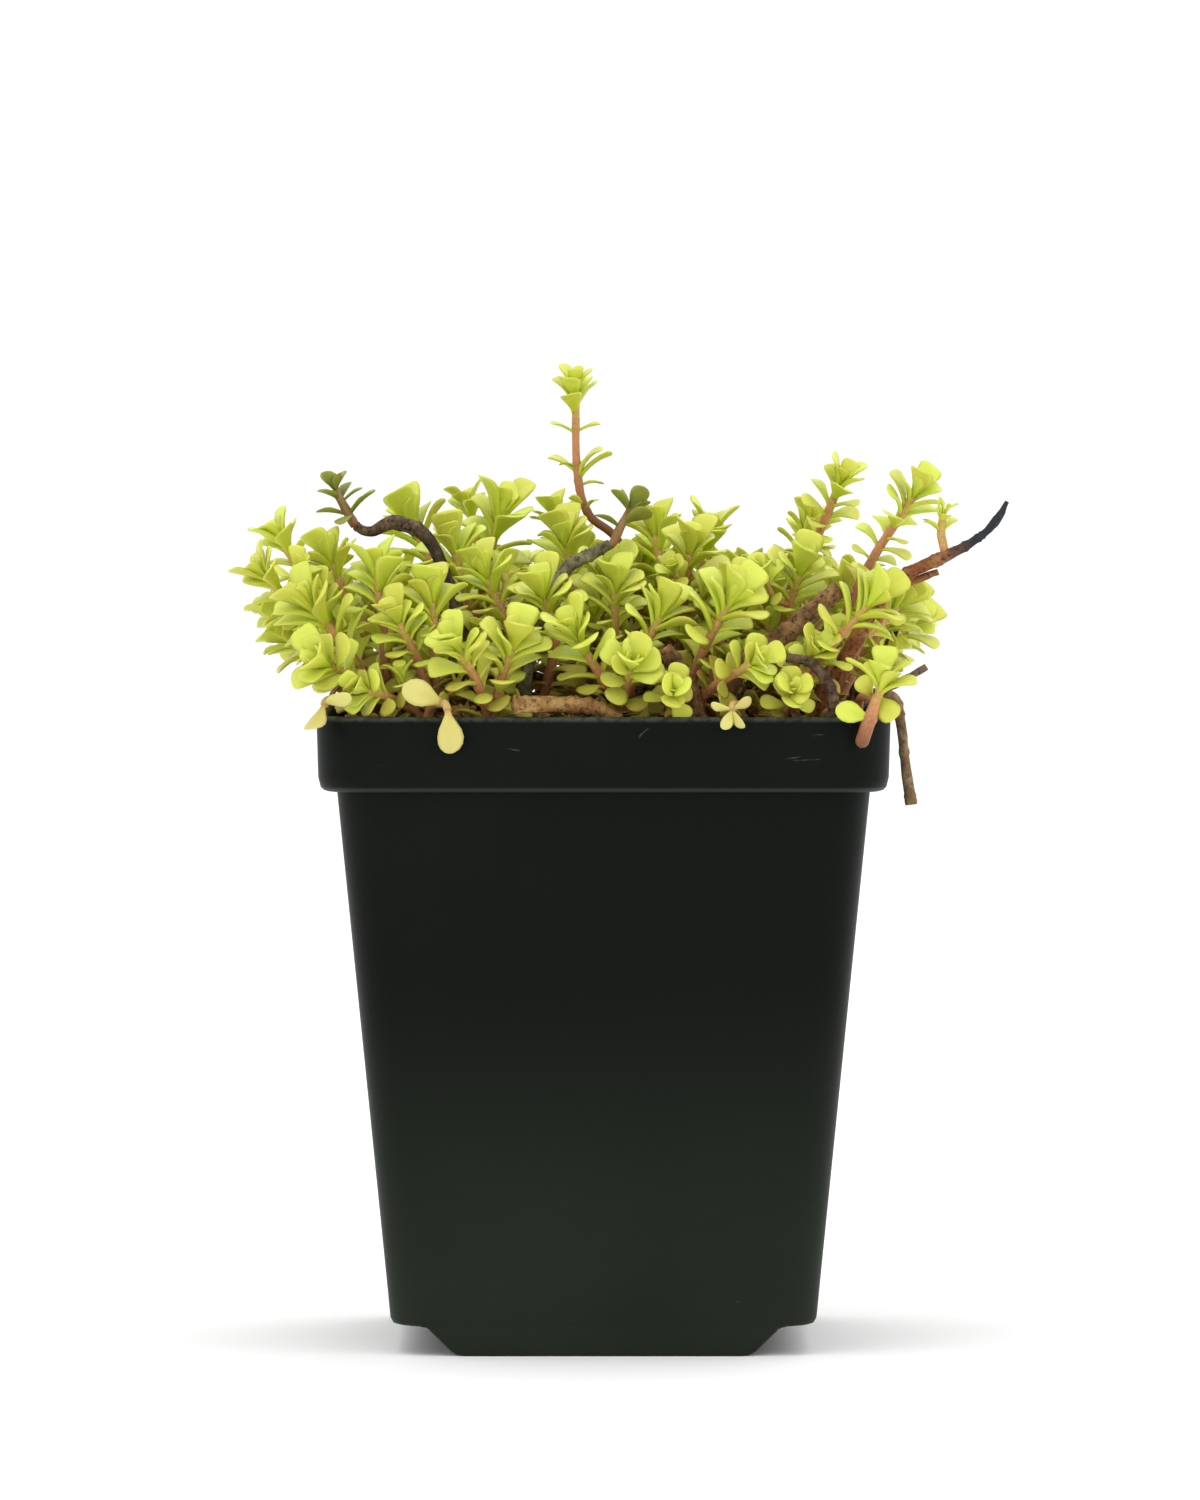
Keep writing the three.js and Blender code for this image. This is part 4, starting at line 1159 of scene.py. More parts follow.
def ageAt(below, height):
    d = dressing
    age = clampTo(max(0, (below - d["youngTo"]) / d["oldAt"]), 1) + random(*d["ageJitter"])
    # painted shade: leaves low in the mat are aged further, so they darken
    age += d["deepShadeAge"] if height < d["deepBelow"] else 0
    return age + d["driedBy"] if age > d["dryFrom"] and random() < d["dryShare"] else age


def addBetween(stem, shoot):
    # buds at the tip and the smaller pairs that the layout leaves out, where there is room
    d = dressing
    added = []
    rows = [(-1, *pair, 90 + 90 * i) for i, pair in enumerate(d["bud"])]
    rows += [(1 if pair[1] < 2 else 2, *pair) for pair in d["between"]]
    rows += [(3, *pair, 90 * i) for i, pair in enumerate(d["below"]) if i >= shoot["pairs"]]
    for row, spread, below, share, turn in rows:
        size = share * shoot["size"]
        t = paramBelow(stem["points"], below * shoot["size"])
        if t <= 0:
            continue
        for side in (0, 180):
            around = shoot["turn"] + turn + side + jitter(d["turnJitter"])
            leaf = placeLeaf(stem, t, spread + jitter(d["budJitter"]), around, size * random(*d["sizes"]))
            if not leaf and below > d["crowdBelow"] and isInside(shoot["tip"]):
                base = pointOn(stem["points"], t)
                tangent, pointing = pointingFrom(stem, t, spread, around)
                leaf = makeLeaf(base, tangent, pointing, size * d["crowdSize"], stem["node"])
                leaf = None if inPotOrSoil(leafPoints(leaf, leafProbes)) else leaf
            if leaf:
                added.append((leaf, pick(kindsByRow[row]), ageAt(below, leaf["base"][2])))
    return added


def addSprigs(stem, shoot):
    # young side shoots that grow towards the bare places of the mat
    d = dressing
    branches, added = [], []
    isFront = shoot["tip"][1] < d["sprigFront"]
    for below in d["sprigsAt"][2 if isFront else 0:]:
        t = paramBelow(stem["points"], below * shoot["size"])
        base = pointOn(stem["points"], t)
        best, bestRoom = None, d["sprigRoom"]
        reach, lift, turn = random(*d["sprigReach"]), random(*d["sprigLift"]), random(0, 90)
        for k in range(d["sprigHeadings"]):
            heading = math.radians(shoot["turn"] + 360 * k / d["sprigHeadings"])
            tip = base + vec(reach * math.cos(heading), reach * math.sin(heading), lift)
            around = leafRoom["middle"] - tip
            gap = math.sqrt((around * around).sum(1).min())
            if max(abs(tip[0]), abs(tip[1])) < d["sprigLimit"] and gap > bestRoom:
                best, bestRoom = tip, gap
        if t < d["sprigFrom"] or best is None or best[2] > d["sprigTop"]:
            continue
        middle = (base + best) / 2 + (best - base) * d["sprigBend"]
        branch = makeStem([base, middle, best], d["sprigRadii"], stem["node"])
        branches.append(branch)
        for i, (spread, along, size) in enumerate(d["sprigRows"]):
            place = paramBelow(branch["points"], along)
            for side in (0, 180):
                tilt = spread + jitter(d["sprigJitter"])
                around = turn + 90 * i + side + jitter(d["turnJitter"])
                leaf = placeLeaf(branch, place, tilt, around, size * random(*d["sizes"]))
                if leaf:
                    age = d["sprigAges"][0] + d["sprigAges"][1] * i
                    added.append((leaf, pick(kindsByRow[min(i, 2)]), age + random(*d["ageJitter"])))
    return branches, added


def isInside(tip):
    # deep in the mat leaves may press against each other
    d = dressing
    return abs(tip[0]) < d["crowdHalf"] and d["crowdFront"] < tip[1] < d["crowdBack"]


def ripen(leaf):
    row = leaf["row"]
    below = (*rosettePairs, *stemPairs)[row][1]
    return leaf, pick(kindsByRow[min(row, 3)]), ageAt(below, leaf["base"][2])


# A sprig that stands on a twig has its foot in the wood. Extra leaves stand between those of the layout, in
# rows at these distances below the tip. A squashed sprig sits lower on its twig than its solid, which has to
# stand clear of it.
sideDressing = {
    "dark_rosette_left": {
        "foot": (-39.0, -12, 128.9), "size": 0.55, "rows": (0.05, 0.9, 2.6), "squash": 0.62,
    },
    "dark_rosette_middle": {"foot": (0.9, -19.6, 126.0), "size": 0.6, "rows": (0.05, 1.2)},
    "sprout_on_twig_right": {"foot": (52.8, -37.6, 125.4), "size": 0.45, "rows": (0.05, 1.4, 2.8)},
    "tall_shoot_middle": {"tip": (-4.4, 2, 150.4), "size": 0.88, "rows": (0.05, 0.8, 2.2, 13.4)},
    "shoot_over_rim_right": {"size": 0.8, "rows": (0.05, 1.5, 3.4)},
}


# the leaf on a shoot's tail that faces the front
facing = {"shoot_over_rim_right": 0}

# extra leaves: how far they spread at the tip and by 3 mm below it, and how much they differ
sideLeaves = {
    "spread": 20,
    "spreadBy": 34,
    "spreadAt": 3,
    "spreadJitter": 8,
    "turnJitter": 12,
    "sizes": (0.75, 1.05),
    "tipSize": 0.7,
    "ageJitter": 0.1,
    "givenAges": (-0.1, 0.15),
}


def dressSide(name, slot, stem):
    s = sideLeaves
    extra = sideDressing[name]
    added = []
    turn = random(0, 90)
    for i, below in enumerate(extra["rows"]):
        t = paramBelow(stem["points"], below)
        for side in (0, 180):
            spread = s["spread"] + s["spreadBy"] * min(1, below / s["spreadAt"]) + jitter(s["spreadJitter"])
            size = extra["size"] * random(*s["sizes"]) * (s["tipSize"] if i == 0 else 1)
            leaf = placeLeaf(stem, t, spread, turn + 90 * i + side + jitter(s["turnJitter"]), size)
            if leaf:
                kind = pick(kindsByRow[-1 if i == 0 else 1] if slot == "leaf" else ("cup", "disc"))
                added.append((leaf, kind, dressing["sideAges"][slot] + jitter(s["ageJitter"])))
    return added


def turnToFront(leaf):
    # the leaf rolls about its own length until its upper face looks to the front
    front = vec(0, -1, 0.15)
    face = unit(front - leaf["d"] * front.dot(leaf["d"]))
    return {**leaf, "n": face, "s": cross(face, leaf["d"])}


def dressShoot(name, slot, mine):
    # a shoot whose leaves are listed one by one: its blades and where they swell its stems
    age = dressing["sideAges"][slot]
    shoot, extra, stem = sideShoots[name], sideDressing.get(name, {}), stems[name][0]
    kinds = kindsByRow[1] + kindsByRow[2] if slot == "leaf" else ("cup", "disc")
    blades = [(leaf, pick(kinds), age + random(*sideLeaves["givenAges"])) for leaf in mine]
    if name in facing:
        i = len(shoot["leaves"]) + facing[name]
        blades[i] = (turnToFront(blades[i][0]), "cup", age)
    swells = [[row[0] for row in rows] for rows in (shoot["leaves"], shoot.get("tailLeaves", ()))]
    if "tip" in extra:
        stem["points"][-1] = extra["tip"]
    if extra:
        blades += dressSide(name, slot, stem)
    if "squash" in extra:
        low = stem["points"][0, 2]
        for spots in (stem["points"], *(blade[0]["base"][None] for blade in blades)):
            spots[:, 2] = low + (spots[:, 2] - low) * extra["squash"]
    if "foot" in extra:
        stem["points"] = np.vstack((extra["foot"], stem["points"]))
        stem["radii"] = [stem["radii"][0], *stem["radii"]]
    return blades, swells, []


def dressStem(name, mine):
    # a leafy stem: its blades, where they swell its shoots, and the side shoots it gets
    blades = [ripen(leaf) for leaf in mine]
    swells, sprigs = [], []
    mineShoots = [(stem, shoot) for stem, shoot in shoots if stem["node"] == name]
    for stem, shoot in mineShoots:
        blades += addBetween(stem, shoot)
        swells.append([paramBelow(stem["points"], below * shoot["size"]) for _, below, _ in stemPairs])
    for stem, shoot in mineShoots:
        branches, more = addSprigs(stem, shoot)
        blades += more
        sprigs += branches
    return blades, swells, sprigs


def growNode(name, slot):
    # one grown piece: its stems, the layout's leaves and the leaves between, joined
    mine = [leaf for leaf in leaves if leaf["node"] == name]
    isSide = name in sideShoots
    blades, swells, sprigs = dressShoot(name, slot, mine) if isSide else dressStem(name, mine)
    parts = [growTube(name, stem, swell, isSide and i > 0)
             for i, (stem, swell) in enumerate(zip(stems[name], swells))]
    parts += [growTube(name, sprig, ()) for sprig in sprigs]
    parts += [growLeaf(leaf, kind, age) for leaf, kind, age in blades]
    piece = joinPieces(name.replace("_", "-"), parts)
    paint(piece, growthMaterials[slot])
    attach(piece, "root")
    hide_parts(name)
    return piece


growthMaterials = {slot: growthMaterial(slot) for slot in ("leaf", "dark", "pale")}
growth["leafClearance"], growth["leafStemClearance"] = dressing["leafGap"], dressing["stemGap"]
grown = [growNode(name, sideSlots.get(name, "leaf")) for name in stems if name not in woodyStems]
print("grown", len(grown), "green pieces with", len(leaves), "leaves")


# Old woody twigs

twigFinish = {
    "form": {"step": 0.35, "sides": 12, "swell": 0.24, "reach": 0.35, "round": 0.0},
    "lumps": 0.00034,
    "lumpSize": 0.0022,
    "knots": 9,
    # how far a twig is slimmer than its solid, at its root and at its tip
    "slim": {
        "long_twig_right": (0.92, 0.6), "bark_twig_left": (0.85, 0.75), "hanging_stem_right": (0.9, 0.82),
        "curved_twig_right": (1, 0.85), "thick_stem_right": (0.95, 0.85), "rim_stub_right": (0.75, 0.62),
    },
    # a short stub under one twig: how far to the side it leaves it, its tip, radii, sag and tone
    "stub": {"from": 44.0, "tip": (51.8, -36.4, 122.4), "radii": (0.75, 0.5), "sag": 0.3, "along": 0.3},
    # the far end of that twig turns another colour
    "end": {"end": (44, 50, 56), "endFrom": 0.62},
    # main, light and dark bark
    "tones": {
        "brown": ((112, 78, 44), (160, 122, 76), (62, 40, 26)),
        "grey": ((112, 104, 76), (150, 142, 110), (66, 58, 44)),
        "tan": ((150, 108, 54), (190, 150, 92), (92, 62, 34)),
        "red": ((142, 84, 46), (176, 122, 72), (78, 46, 30)),
        "dusky": ((78, 60, 44), (126, 102, 76), (38, 31, 26)),
        "drab": ((136, 108, 74), (168, 142, 104), (94, 74, 52)),
        "ashen": ((126, 104, 86), (160, 138, 114), (78, 62, 52)),
    },
}
twigTones = {
    "bark_twig_left": "dusky", "grey_twig_middle": "grey", "long_twig_right": "red",
    "thick_stem_right": "brown", "branched_stem_front": "brown", "curved_twig_right": "dusky",
    "rim_stub_right": "ashen",
    "hanging_stem_right": "drab", "tan_stub_front": "tan", "knobbly_twig_right": "dusky",
}


def addStub(twig, stem):
    s = twigFinish["stub"]
    places = pointsOn(stem["points"], np.linspace(0, 1, 90))
    foot = places[abs(places[:, 0] - s["from"]).argmin()]
    middle = (foot + s["tip"]) / 2 + vec(0, 0, -s["sag"])
    stub, _, _ = stemMesh("stub", makeStem([foot, middle, s["tip"]], s["radii"], ""), (), twigFinish["form"])
    setValues(stub.data, "along", s["along"])
    return joinPieces(twig.name, [twig, stub])


def growTwig(name):
    f = twigFinish
    pieceName = name.replace("_", "-")
    stem = stems[name][0]
    shares = np.linspace(*f["slim"].get(name, (1, 1)), len(stem["radii"]))
    stem = makeStem(stem["points"], np.array(stem["radii"]) * shares, name)
    knots = [random() for _ in range(f["knots"])]
    twig, ts, _ = stemMesh(pieceName, stem, knots, f["form"])
    setValues(twig.data, "along", ts)
    isLong = name == "long_twig_right"
    if isLong:
        twig = addStub(twig, stem)
    texture = bpy.data.textures.get("barkLumps") or bpy.data.textures.new("barkLumps", "CLOUDS")
    texture.noise_scale = f["lumpSize"]
    applyModifier(twig, "DISPLACE", texture=texture, strength=f["lumps"], mid_level=0.5)
    tones, end = f["tones"][twigTones[name]], f["end"] if isLong else {}
    paint(twig, barkMaterial(pieceName + "-bark", *tones, **end))
    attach(twig, "root")
    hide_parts(name)
    return twig


twigs = [growTwig(name) for name in woodyStems]
print("grown", len(twigs), "twigs")


# The pot: one thin square moulding

potShape = {
    # place on the band, lean in degrees and length of each scratch
    "scratches": ((6.2, 97.9, 40, 2.2), (5.7, 97.3, 55, 1.2), (31.3, 93.6, 3, 5), (29.2, 93.9, 8, 3),
                  (33.0, 97.5, 0, 2.4), (-14.0, 95.2, -10, 2.6)),
    "cornerShare": 8 / 44.5,
    "cornerSteps": 9,
    "bodyLow": (33.2, 4.6),
    "bodyHigh": (41.4, 88.4),
    "wall": 1.3,
    # half width and height of the outside from the skirt up over the lip
    "outside": ((32.3, 4.6), (32.9, 4.85), (33.3, 5.6), (41.4, 88.4), (42.9, 88.4), (43.5, 88.62),
                (43.9, 89.1), (44.25, 90.6), (44.5, 99.2), (44.36, 99.65), (44.0, 100.05), (43.5, 100.2)),
    # and of the inside from the lip down to the floor
    "inside": ((43.15, 100.12), (42.9, 99.8), (42.5, 91), (40.1, 89)),
    "floor": 5.9,
    "footHalf": ((22.3, 0), (22.9, 0.15), (23.7, 0.6), (27.3, 4.15), (27.8, 4.45), (28.5, 4.55),
                 (28.5, 5.6)),
    "footInset": 0.25,
    "footCorner": 1.2,
    "footSteps": 4,
    # the hollow of the foot: half width, how much wider and deeper it is at its top
    "troughHalf": 21.5,
    "troughWiden": (4, 0.4, 0.5),
    # drainage slots: size, and the place of one of the four
    "slot": (2.8, 11, 3),
    "slotAt": (29.2, 20, 5.5),
    "sharpFrom": 32,
}


def bodyHalfAt(z):
    (lowHalf, lowZ), (highHalf, highZ) = potShape["bodyLow"], potShape["bodyHigh"]
    return lowHalf + (highHalf - lowHalf) * (z - lowZ) / (highZ - lowZ)


def loftUp(name, rings, corner, steps):
    # a rounded square drawn at the first ring and extruded ring by ring: half width, half depth, height
    deselectAll()
    halfX, halfY, z = rings[0]
    bpy.ops.mesh.primitive_plane_add(size=2, location=(0, 0, z * mm))
    block = bpy.context.active_object
    block.name = name
    block.scale = (halfX * mm, halfY * mm, 1)
    bpy.ops.object.transform_apply(location=True, rotation=True, scale=True)
    bpy.ops.object.mode_set(mode="EDIT")
    bpy.ops.mesh.select_all(action="SELECT")
    bpy.ops.mesh.bevel(offset=corner * mm, segments=steps, affect="VERTICES")
    for newX, newY, newZ in rings[1:]:
        bpy.ops.mesh.extrude_region_move(TRANSFORM_OT_translate={"value": (0, 0, (newZ - z) * mm)})
        bpy.ops.transform.resize(value=(newX / halfX, newY / halfY, 1), center_override=(0, 0, newZ * mm))
        halfX, halfY, z = newX, newY, newZ
    bpy.ops.mesh.select_all(action="SELECT")
    bpy.ops.mesh.normals_make_consistent(inside=False)
    bpy.ops.object.mode_set(mode="OBJECT")
    return block


def joinSolid(piece, tool, operation):
    applyModifier(piece, "BOOLEAN", object=tool, operation=operation, solver="EXACT")
    bpy.data.objects.remove(tool)


def buildPot():
    p = potShape
    floor, corner = p["floor"], (p["footCorner"], p["footSteps"])
    low = ((bodyHalfAt(floor + 1) - p["wall"], floor + 1), (bodyHalfAt(floor) - p["wall"] - 1, floor))
    rings = [(half, half, z) for half, z in (*p["outside"], *p["inside"], *low)]
    pot = loftUp("square-pot", rings, p["outside"][0][0] * p["cornerShare"], p["cornerSteps"])
    foot = loftUp("foot", [(half, bodyHalfAt(z) - p["footInset"], z) for half, z in p["footHalf"]], *corner)
    joinSolid(pot, foot, "UNION")
    deselectAll()
    trough = (p["troughHalf"], bodyHalfAt(0) - p["footInset"] - p["wall"])
    wider, deeper, higher = p["troughWiden"]
    rings = ((*trough, p["wall"]), (trough[0] + wider, trough[1] + deeper, floor + higher))
    joinSolid(pot, loftUp("trough", rings, *corner), "DIFFERENCE")
    x, y, z = p["slotAt"]
    for sideX in (-1, 1):
        for sideY in (-1, 1):
            deselectAll()
            place = (sideX * x * mm, sideY * y * mm, z * mm)
            bpy.ops.mesh.primitive_cube_add(size=1, location=place, scale=[part * mm for part in p["slot"]])
            joinSolid(pot, bpy.context.active_object, "DIFFERENCE")
    makeActive(pot)
    bpy.ops.object.shade_smooth_by_angle(angle=math.radians(p["sharpFrom"]))
    paint(pot, potMaterial())
    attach(pot, "root")
    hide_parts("pot")
    return pot


# the pot's look: tones, then where each change begins and ends and the shares it goes from and to
potFinish = {
    "roughness": 0.42,
    "specular": 0.08,
    # of these tones the near-black is the plastic's own colour; the 37, 44, 34 grey-green is the lighter tone
    # of a painted floor reflection low on the pot, and the two pale greys for the lip top and the ledge are
    # painted highlights
    "tones": {
        "foot": (7, 11, 7), "body": (37, 44, 34), "cloud": (17, 23, 18), "lipHighlight": (64, 72, 62),
        "ledgeHighlight": (58, 68, 62), "dust": (104, 112, 104), "scratch": (104, 116, 112),
    },
    # painted reflection of the pale floor: from 62 mm down to 4 mm the pot turns from its near-black to
    # mostly the lighter tone
    "floorReflection": (0.004, 0.062, 0.85, 0),
    "cloud": (0.4, 0.7, 0, 0.3),
    # painted highlight along the rounded top of the lip, broken up by grain
    "lip": (0.0992, 0.1),
    "lipHighlightGrain": (0.35, 0.6, 0.35, 1),
    # painted highlight along the ledge under the rim band, from 88.4 to 89.4 mm
    "ledgeFrom": (0.0884, 0.0887, 0, 1),
    "ledgeTo": (0.0889, 0.0894, 1, 0),
    "ledgeHighlightShare": 0.5,
    "streaks": (0.7, 0.78, 0, 1),
    "dust": (0.5, 0.62, 0.05, 0.4),
    "scratchThin": (0.00004, 0.00014, 1, 0),
    "scratchFront": (-0.0435, -0.043, 1, 0),
    "scratchGrain": (0.35, 0.6, 0.04, 0.26),
    "streakScale": (260, 260, 900),
    "streakTurn": (0.3, 0.2, 0.4),
    "rough": {"cloud": 0.16, "grain": 0.08, "least": 0.34},
    "bump": 0.12,
    "bumpDepth": 0.0001,
}


def scratchesOn(tree, place):
    # short pale scratches on the front of the band
    f = potFinish
    marks = 0.0
    for x, z, lean, length in potShape["scratches"]:
        turned = addNode(tree, "Mapping", vector_type="TEXTURE")
        tree.links.new(place, turned.inputs["Vector"])
        turned.inputs["Location"].default_value = (x * mm, 0, z * mm)
        turned.inputs["Rotation"].default_value = (0, math.radians(-lean), 0)
        split = splitPlace(tree, turned.outputs["Vector"])
        near = rampOf(tree, plain(tree, split["X"]), length * mm * 0.3, length * mm * 0.5, 1, 0)
        thin = rampOf(tree, plain(tree, split["Z"]), *f["scratchThin"])
        marks = mathOf(tree, "MAXIMUM", marks, times(tree, near, thin))
    return times(tree, marks, rampOf(tree, splitPlace(tree, place)["Y"], *f["scratchFront"]))


def potMaterial():
    f = potFinish
    material, tree, shader = startMaterial("potPlastic", f["roughness"], f["specular"])
    tone = {key: linear(colour) for key, colour in f["tones"].items()}

    def ramp(factor, key):
        return rampOf(tree, factor, *f[key])

    place = objectPlace(tree)
    height = splitPlace(tree, place)["Z"]
    cloud, grain = noiseOf(tree, place, 22, 3), noiseOf(tree, place, 700, 3)
    fall = addNode(tree, "Mapping")
    tree.links.new(place, fall.inputs["Vector"])
    fall.inputs["Scale"].default_value = f["streakScale"]
    fall.inputs["Rotation"].default_value = f["streakTurn"]
    streaks = noiseOf(tree, fall.outputs["Vector"], 1, 4, 0.7)
    # painted reflection of the floor: the pot is lighter towards its bottom
    body = mixOf(tree, ramp(height, "floorReflection"), tone["foot"], tone["body"])
    body = mixOf(tree, ramp(cloud, "cloud"), body, tone["cloud"])
    # painted highlight along the rounded top of the lip, broken up by grain
    body = mixOf(tree, times(tree, ramp(height, "lip"), ramp(grain, "lipHighlightGrain")), body, tone["lipHighlight"])
    # painted highlight along the ledge under the rim band
    ledgeHighlight = times(tree, ramp(height, "ledgeFrom"), ramp(height, "ledgeTo"))
    body = mixOf(tree, times(tree, ledgeHighlight, f["ledgeHighlightShare"]), body, tone["ledgeHighlight"])
    body = mixOf(tree, times(tree, ramp(streaks, "streaks"), ramp(cloud, "dust")), body, tone["dust"])
    marks = times(tree, scratchesOn(tree, place), ramp(grain, "scratchGrain"))
    tree.links.new(mixOf(tree, marks, body, tone["scratch"]), shader.inputs["Base Color"])
    rough = f["rough"]
    uneven = plus(tree, times(tree, cloud, rough["cloud"]), times(tree, grain, rough["grain"]))
    tree.links.new(plus(tree, uneven, rough["least"]), shader.inputs["Roughness"])
    addBump(tree, shader, plus(tree, grain, times(tree, streaks, 0.5)), f["bump"], f["bumpDepth"])
    return material


pot = buildPot()
print("made the pot")


# Soil: a lumpy bed with crumbs, bits of bark, fallen leaves and old stems

soilShape = {
    "tones": ((0.3, (30, 22, 16)), (0.46, (58, 42, 28)), (0.58, (88, 64, 42)), (0.72, (126, 96, 64))),
    "oldTones": ((84, 60, 42), (128, 96, 64), (44, 32, 24)),
    "topLayer": 0.3,
    "lumpMiddle": 0.75,
    "gap": 0.3,
    "grain": 0.0015,
    "rim": 1.2,
    "lumps": 0.0022,
    "lumpSize": 0.004,
    # fallen leaves: how many, how far out, and how high they pile up over the middle, where the dark pile
    # also paints the shade deep in the mat
    "litter": 620,
    "litterHalf": 38,
    "litterHeight": 15,
    "pile": (6, 42),
    "litterSizes": (0.45, 0.85),
    "litterAges": (0.75, 1.7),
    # old stems: how many, how far out, how long, how high and how thick
    "roots": 64,
    "rootHalf": 36,
    "rootLimit": 39,
    "rootReach": (6, 17),
    "rootLift": (0.6, 1.2),
    "rootAside": 1.5,
    "rootRadii": (0.3, 0.8),
    "rootTaper": (1, 0.9, 0.8, 0.7),
    "crumbs": 620,
    "crumbSizes": (0.35, 1.25),
    "chips": 90,
    "chipSizes": (1.2, 3.4),
    "crumbInset": 2.5,
    "crumbSink": 0.6,
    "seed": 91,
}


def soilMaterial():
    material, tree, shader = startMaterial("pottingSoil", 0.85, 0.25)
    place = objectPlace(tree)
    coarse, fine = noiseOf(tree, place, 330, 4, 0.6), noiseOf(tree, place, 1500, 4, 0.65)
    mixed = plus(tree, times(tree, coarse, 0.5), times(tree, fine, 0.5))
    tree.links.new(colourRamp(tree, mixed, soilShape["tones"]), shader.inputs["Base Color"])
    tree.links.new(rampOf(tree, fine, 0.35, 0.7, 0.7, 0.95), shader.inputs["Roughness"])
    addBump(tree, shader, fine, 0.9, 0.0006)
    return material


def layLitter(draw, ground):
    # dropped leaves, piled higher towards the middle; old and dried, they also paint the shade deep in the
    # mat
    s = soilShape
    half, (pileY, pileReach), dropped = s["litterHalf"], s["pile"], []
    for _ in range(s["litter"]):
        x, y = draw(-half, half), draw(-half, half)
        pile = max(0, 1 - math.hypot(x, y - pileY) / pileReach)
        base = vec(x, y, ground + 0.2 + draw() ** 1.5 * (1 + s["litterHeight"] * pile))
        heading, lean = draw(0, 6.28), draw(-0.5, 0.7)
        d = vec(math.cos(heading) * math.cos(lean), math.sin(heading) * math.cos(lean), math.sin(lean))
        side = unit(cross(d, vec(draw(-0.5, 0.5), draw(-0.5, 0.5), 1)))
        leaf = {"base": base, "d": d, "s": side, "n": cross(d, side), "size": draw(*s["litterSizes"])}
        blade = growLeaf(leaf, ("dry", "bent", "bentSlim")[int(draw() * 2.99)], draw(*s["litterAges"]))
        paint(blade, growthMaterials["leaf"])
        dropped.append(blade)
    return dropped


def layRoots(draw, ground):
    # thin old stems that arch over the soil from one place to another
    s = soilShape
    wood = barkMaterial("old-stem-bark", *s["oldTones"])
    half, aside, limit, arches = s["rootHalf"], s["rootAside"], s["rootLimit"], []
    for _ in range(s["roots"]):
        x, y, heading, reach = draw(-half, half), draw(-half, half), draw(0, 6.28), draw(*s["rootReach"])
        points = [(x, y, ground - 1)]
        for share in (0.3, 0.6, 1):
            lift = draw(*s["rootLift"]) * reach * 0.6 * math.sin(math.pi * share) - (1 if share == 1 else 0)
            spotX = x + reach * share * math.cos(heading) + draw(-aside, aside)
            spotY = y + reach * share * math.sin(heading) + draw(-aside, aside)
            points.append((clampTo(spotX, limit), clampTo(spotY, limit), ground + lift))
        radius = draw(*s["rootRadii"])
        root = makeStem(points, [radius * share for share in s["rootTaper"]], "soil")
        arch, ts, _ = stemMesh("root", root, (), dressing["stem"])
        paint(arch, wood)
        setValues(arch.data, "along", ts)
        arches.append(arch)
    return arches


def buildBed(low, high):
    # the soil fills the pot up to its level, and its top is lumpy
    s, p = soilShape, potShape
    trough = (p["troughHalf"] - s["gap"], bodyHalfAt(0) - p["footInset"] - p["wall"] - s["gap"])
    over = p["floor"] + s["gap"]
    rings = [(*trough, low), (*trough, over)]
    for z, side in ((over, 1), (over + 1, 0), (high, 0)):
        half = bodyHalfAt(z) - p["wall"] - s["gap"] - side
        rings.append((half, half, z))
    bed = loftUp("soil-bed", rings, trough[0] * p["cornerShare"], p["cornerSteps"])
    applyModifier(bed, "REMESH", mode="VOXEL", voxel_size=s["grain"])
    top = bed.vertex_groups.new(name="top")
    places = vertexPlaces(bed.data) / mm
    inner = (places[:, 2] > high - s["topLayer"]) & (abs(places[:, :2]).max(1) < rings[-1][0] - s["rim"])
    top.add([int(i) for i in np.flatnonzero(inner)], 1, "REPLACE")
    texture = bpy.data.textures.new("soilLumps", "CLOUDS")
    texture.noise_scale = s["lumpSize"]
    applyModifier(bed, "DISPLACE", texture=texture, strength=s["lumps"], mid_level=s["lumpMiddle"],
                  vertex_group="top", direction="Z")
    return bed, rings[-1][0]


def strewCrumbs(draw, half, ground):
    s = soilShape
    bpy.ops.mesh.primitive_ico_sphere_add(subdivisions=1, radius=1)
    crumb = bpy.context.active_object
    texture = bpy.data.textures.new("crumbLumps", "CLOUDS")
    applyModifier(crumb, "DISPLACE", texture=texture, strength=0.6, mid_level=0.5)
    reach, bits = half - s["crumbInset"], []
    for i in range(s["crumbs"] + s["chips"]):
        isChip = i >= s["crumbs"]
        height = ground - s["crumbSink"]
        spot = Vector((draw(-reach, reach), draw(-reach, reach), height + draw(-0.3, 0.5))) * mm
        small = draw(*(s["chipSizes"] if isChip else s["crumbSizes"])) * mm / 2
        if isChip:
            squash = (1, draw(0.25, 0.5), draw(0.16, 0.3))
        else:
            squash = (draw(0.7, 1.2), draw(0.7, 1.2), draw(0.6, 1))
        turn = Matrix.Rotation(draw(0, 6.28), 4, "Z") @ Matrix.Rotation(draw(-0.5, 0.5), 4, "X")
        mesh = crumb.data.copy()
        mesh.transform(Matrix.Translation(spot) @ turn @ Matrix.Diagonal((*(Vector(squash) * small), 1)))
        bits.append(linkNew("crumb", mesh))
    bpy.data.objects.remove(crumb)
    return bits


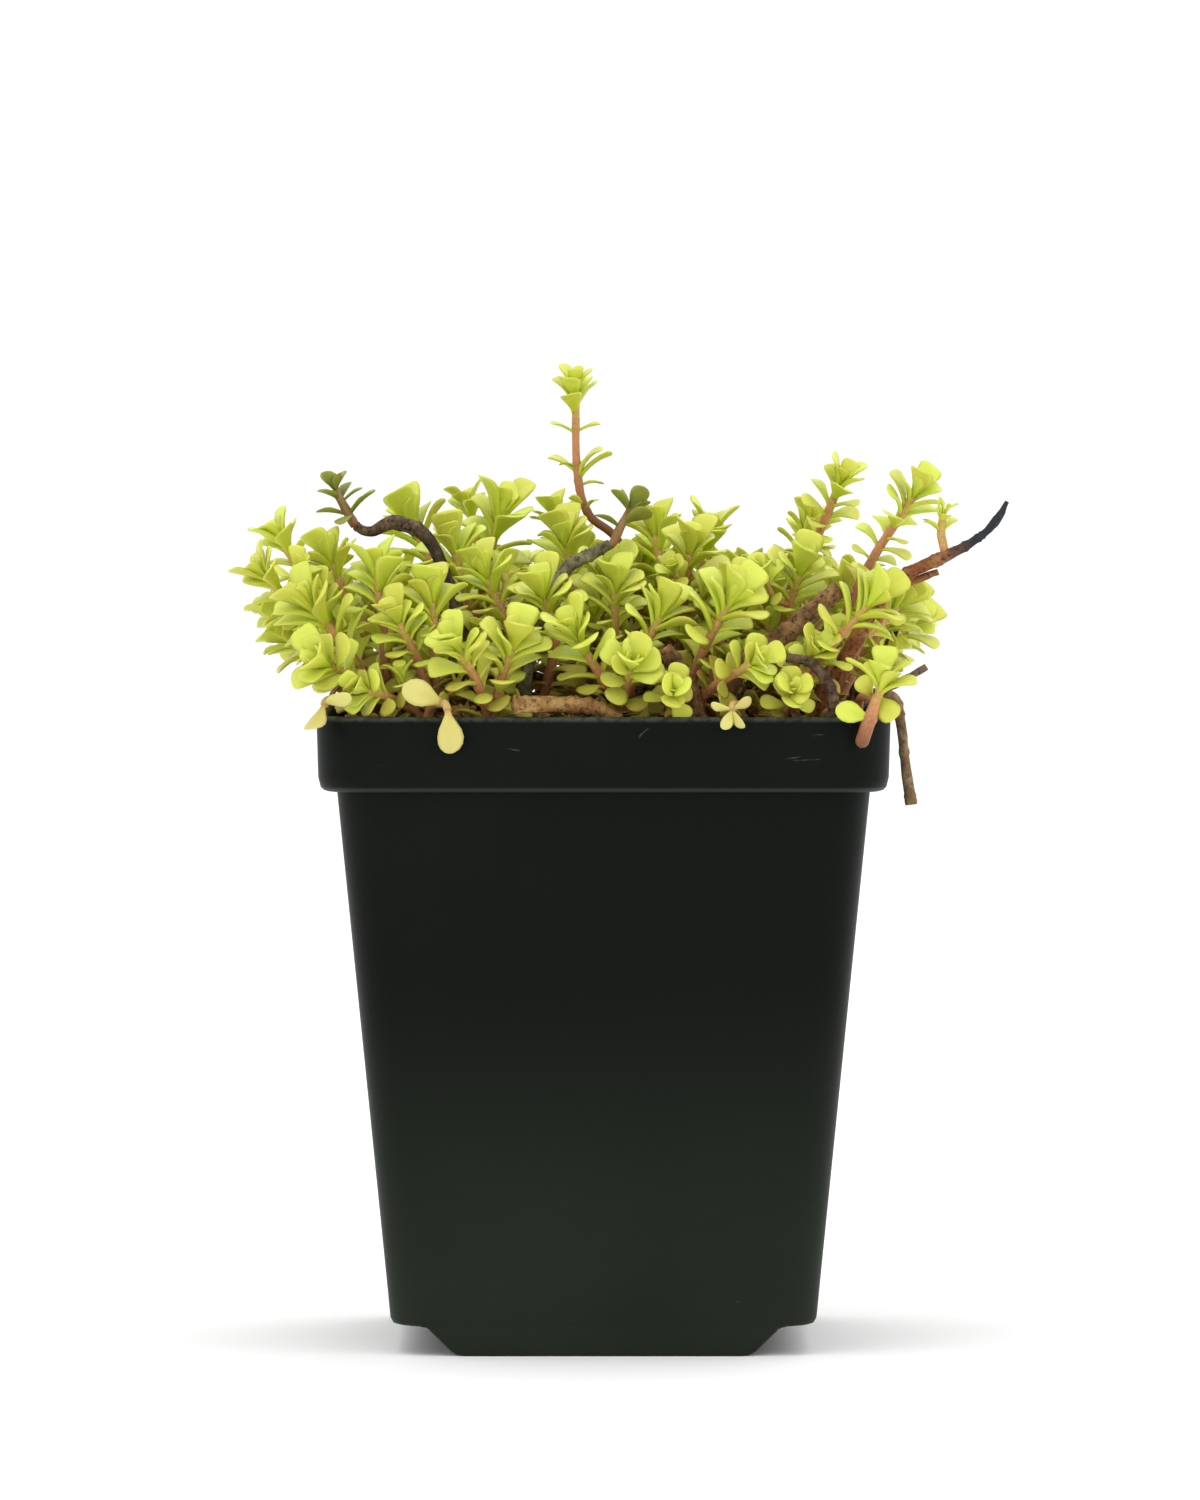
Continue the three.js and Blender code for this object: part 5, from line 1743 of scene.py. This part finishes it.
def buildSoil():
    earth = soilMaterial()
    draw = makeRandom(soilShape["seed"])
    low, high = ((corner / mm).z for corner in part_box("soil"))
    bed, half = buildBed(low, high)
    parts = [bed, *strewCrumbs(draw, half, high)]
    for part in parts:
        paint(part, earth)
    soil = joinPieces("soil-bed", parts + layLitter(draw, high) + layRoots(draw, high))
    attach(soil, "root")
    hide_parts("soil")
    return soil


soil = buildSoil()
print("made the soil")


# Floor, light and camera

studio = {
    "camera": (-0.55, -1644.5, 169.2),
    "pitch": -2.65,
    "lens": 249.2,
    "sensor": 36,
    "floorHalf": 60,
    "floorTones": ((0.97, 0.97, 0.965, 1), (1, 1, 1, 1)),
    "sky": 1.13,
    # size and place in metres, where it points, power in watts
    "lamps": (
        (0.8, (-0.4, -0.5, 1.5), (0, 0, 0.1), 3.5),
        (0.9, (1.1, -0.5, 0.8), (0, 0, 0.08), 1.5),
        (0.9, (0.2, 0.6, 1.5), (0, 0, 0.1), 3.5),
    ),
}


def setUpStudio():
    s = studio
    deselectAll()
    bpy.ops.mesh.primitive_plane_add(size=2 * s["floorHalf"])
    floor = bpy.context.active_object
    floor.name = "studio-floor"
    material, tree, shader = startMaterial("paleFloor", 0.9, 0.1)
    tone = mixOf(tree, noiseOf(tree, objectPlace(tree), 3, 2), *s["floorTones"])
    tree.links.new(tone, shader.inputs["Base Color"])
    floor.data.materials.append(material)
    world = bpy.data.worlds.new("studioLight")
    world.use_nodes = True
    sky = world.node_tree.nodes["Background"].inputs
    sky["Color"].default_value = (1, 1, 1, 1)
    sky["Strength"].default_value = s["sky"]
    bpy.context.scene.world = world
    for size, place, aim, power in s["lamps"]:
        bpy.ops.object.light_add(type="AREA", location=place)
        lamp = bpy.context.active_object
        lamp.data.size = size
        lamp.data.energy = power
        lamp.rotation_euler = (Vector(aim) - Vector(place)).to_track_quat("-Z", "Y").to_euler()
    bpy.ops.object.camera_add(
        location=Vector(s["camera"]) * mm, rotation=(math.radians(90 + s["pitch"]), 0, 0))
    camera = bpy.context.active_object
    camera.data.lens = s["lens"]
    camera.data.sensor_width = s["sensor"]
    camera.data.clip_end = 100
    bpy.context.scene.camera = camera
    bpy.context.scene.view_settings.view_transform = "Standard"


setUpStudio()
print("set up the studio")
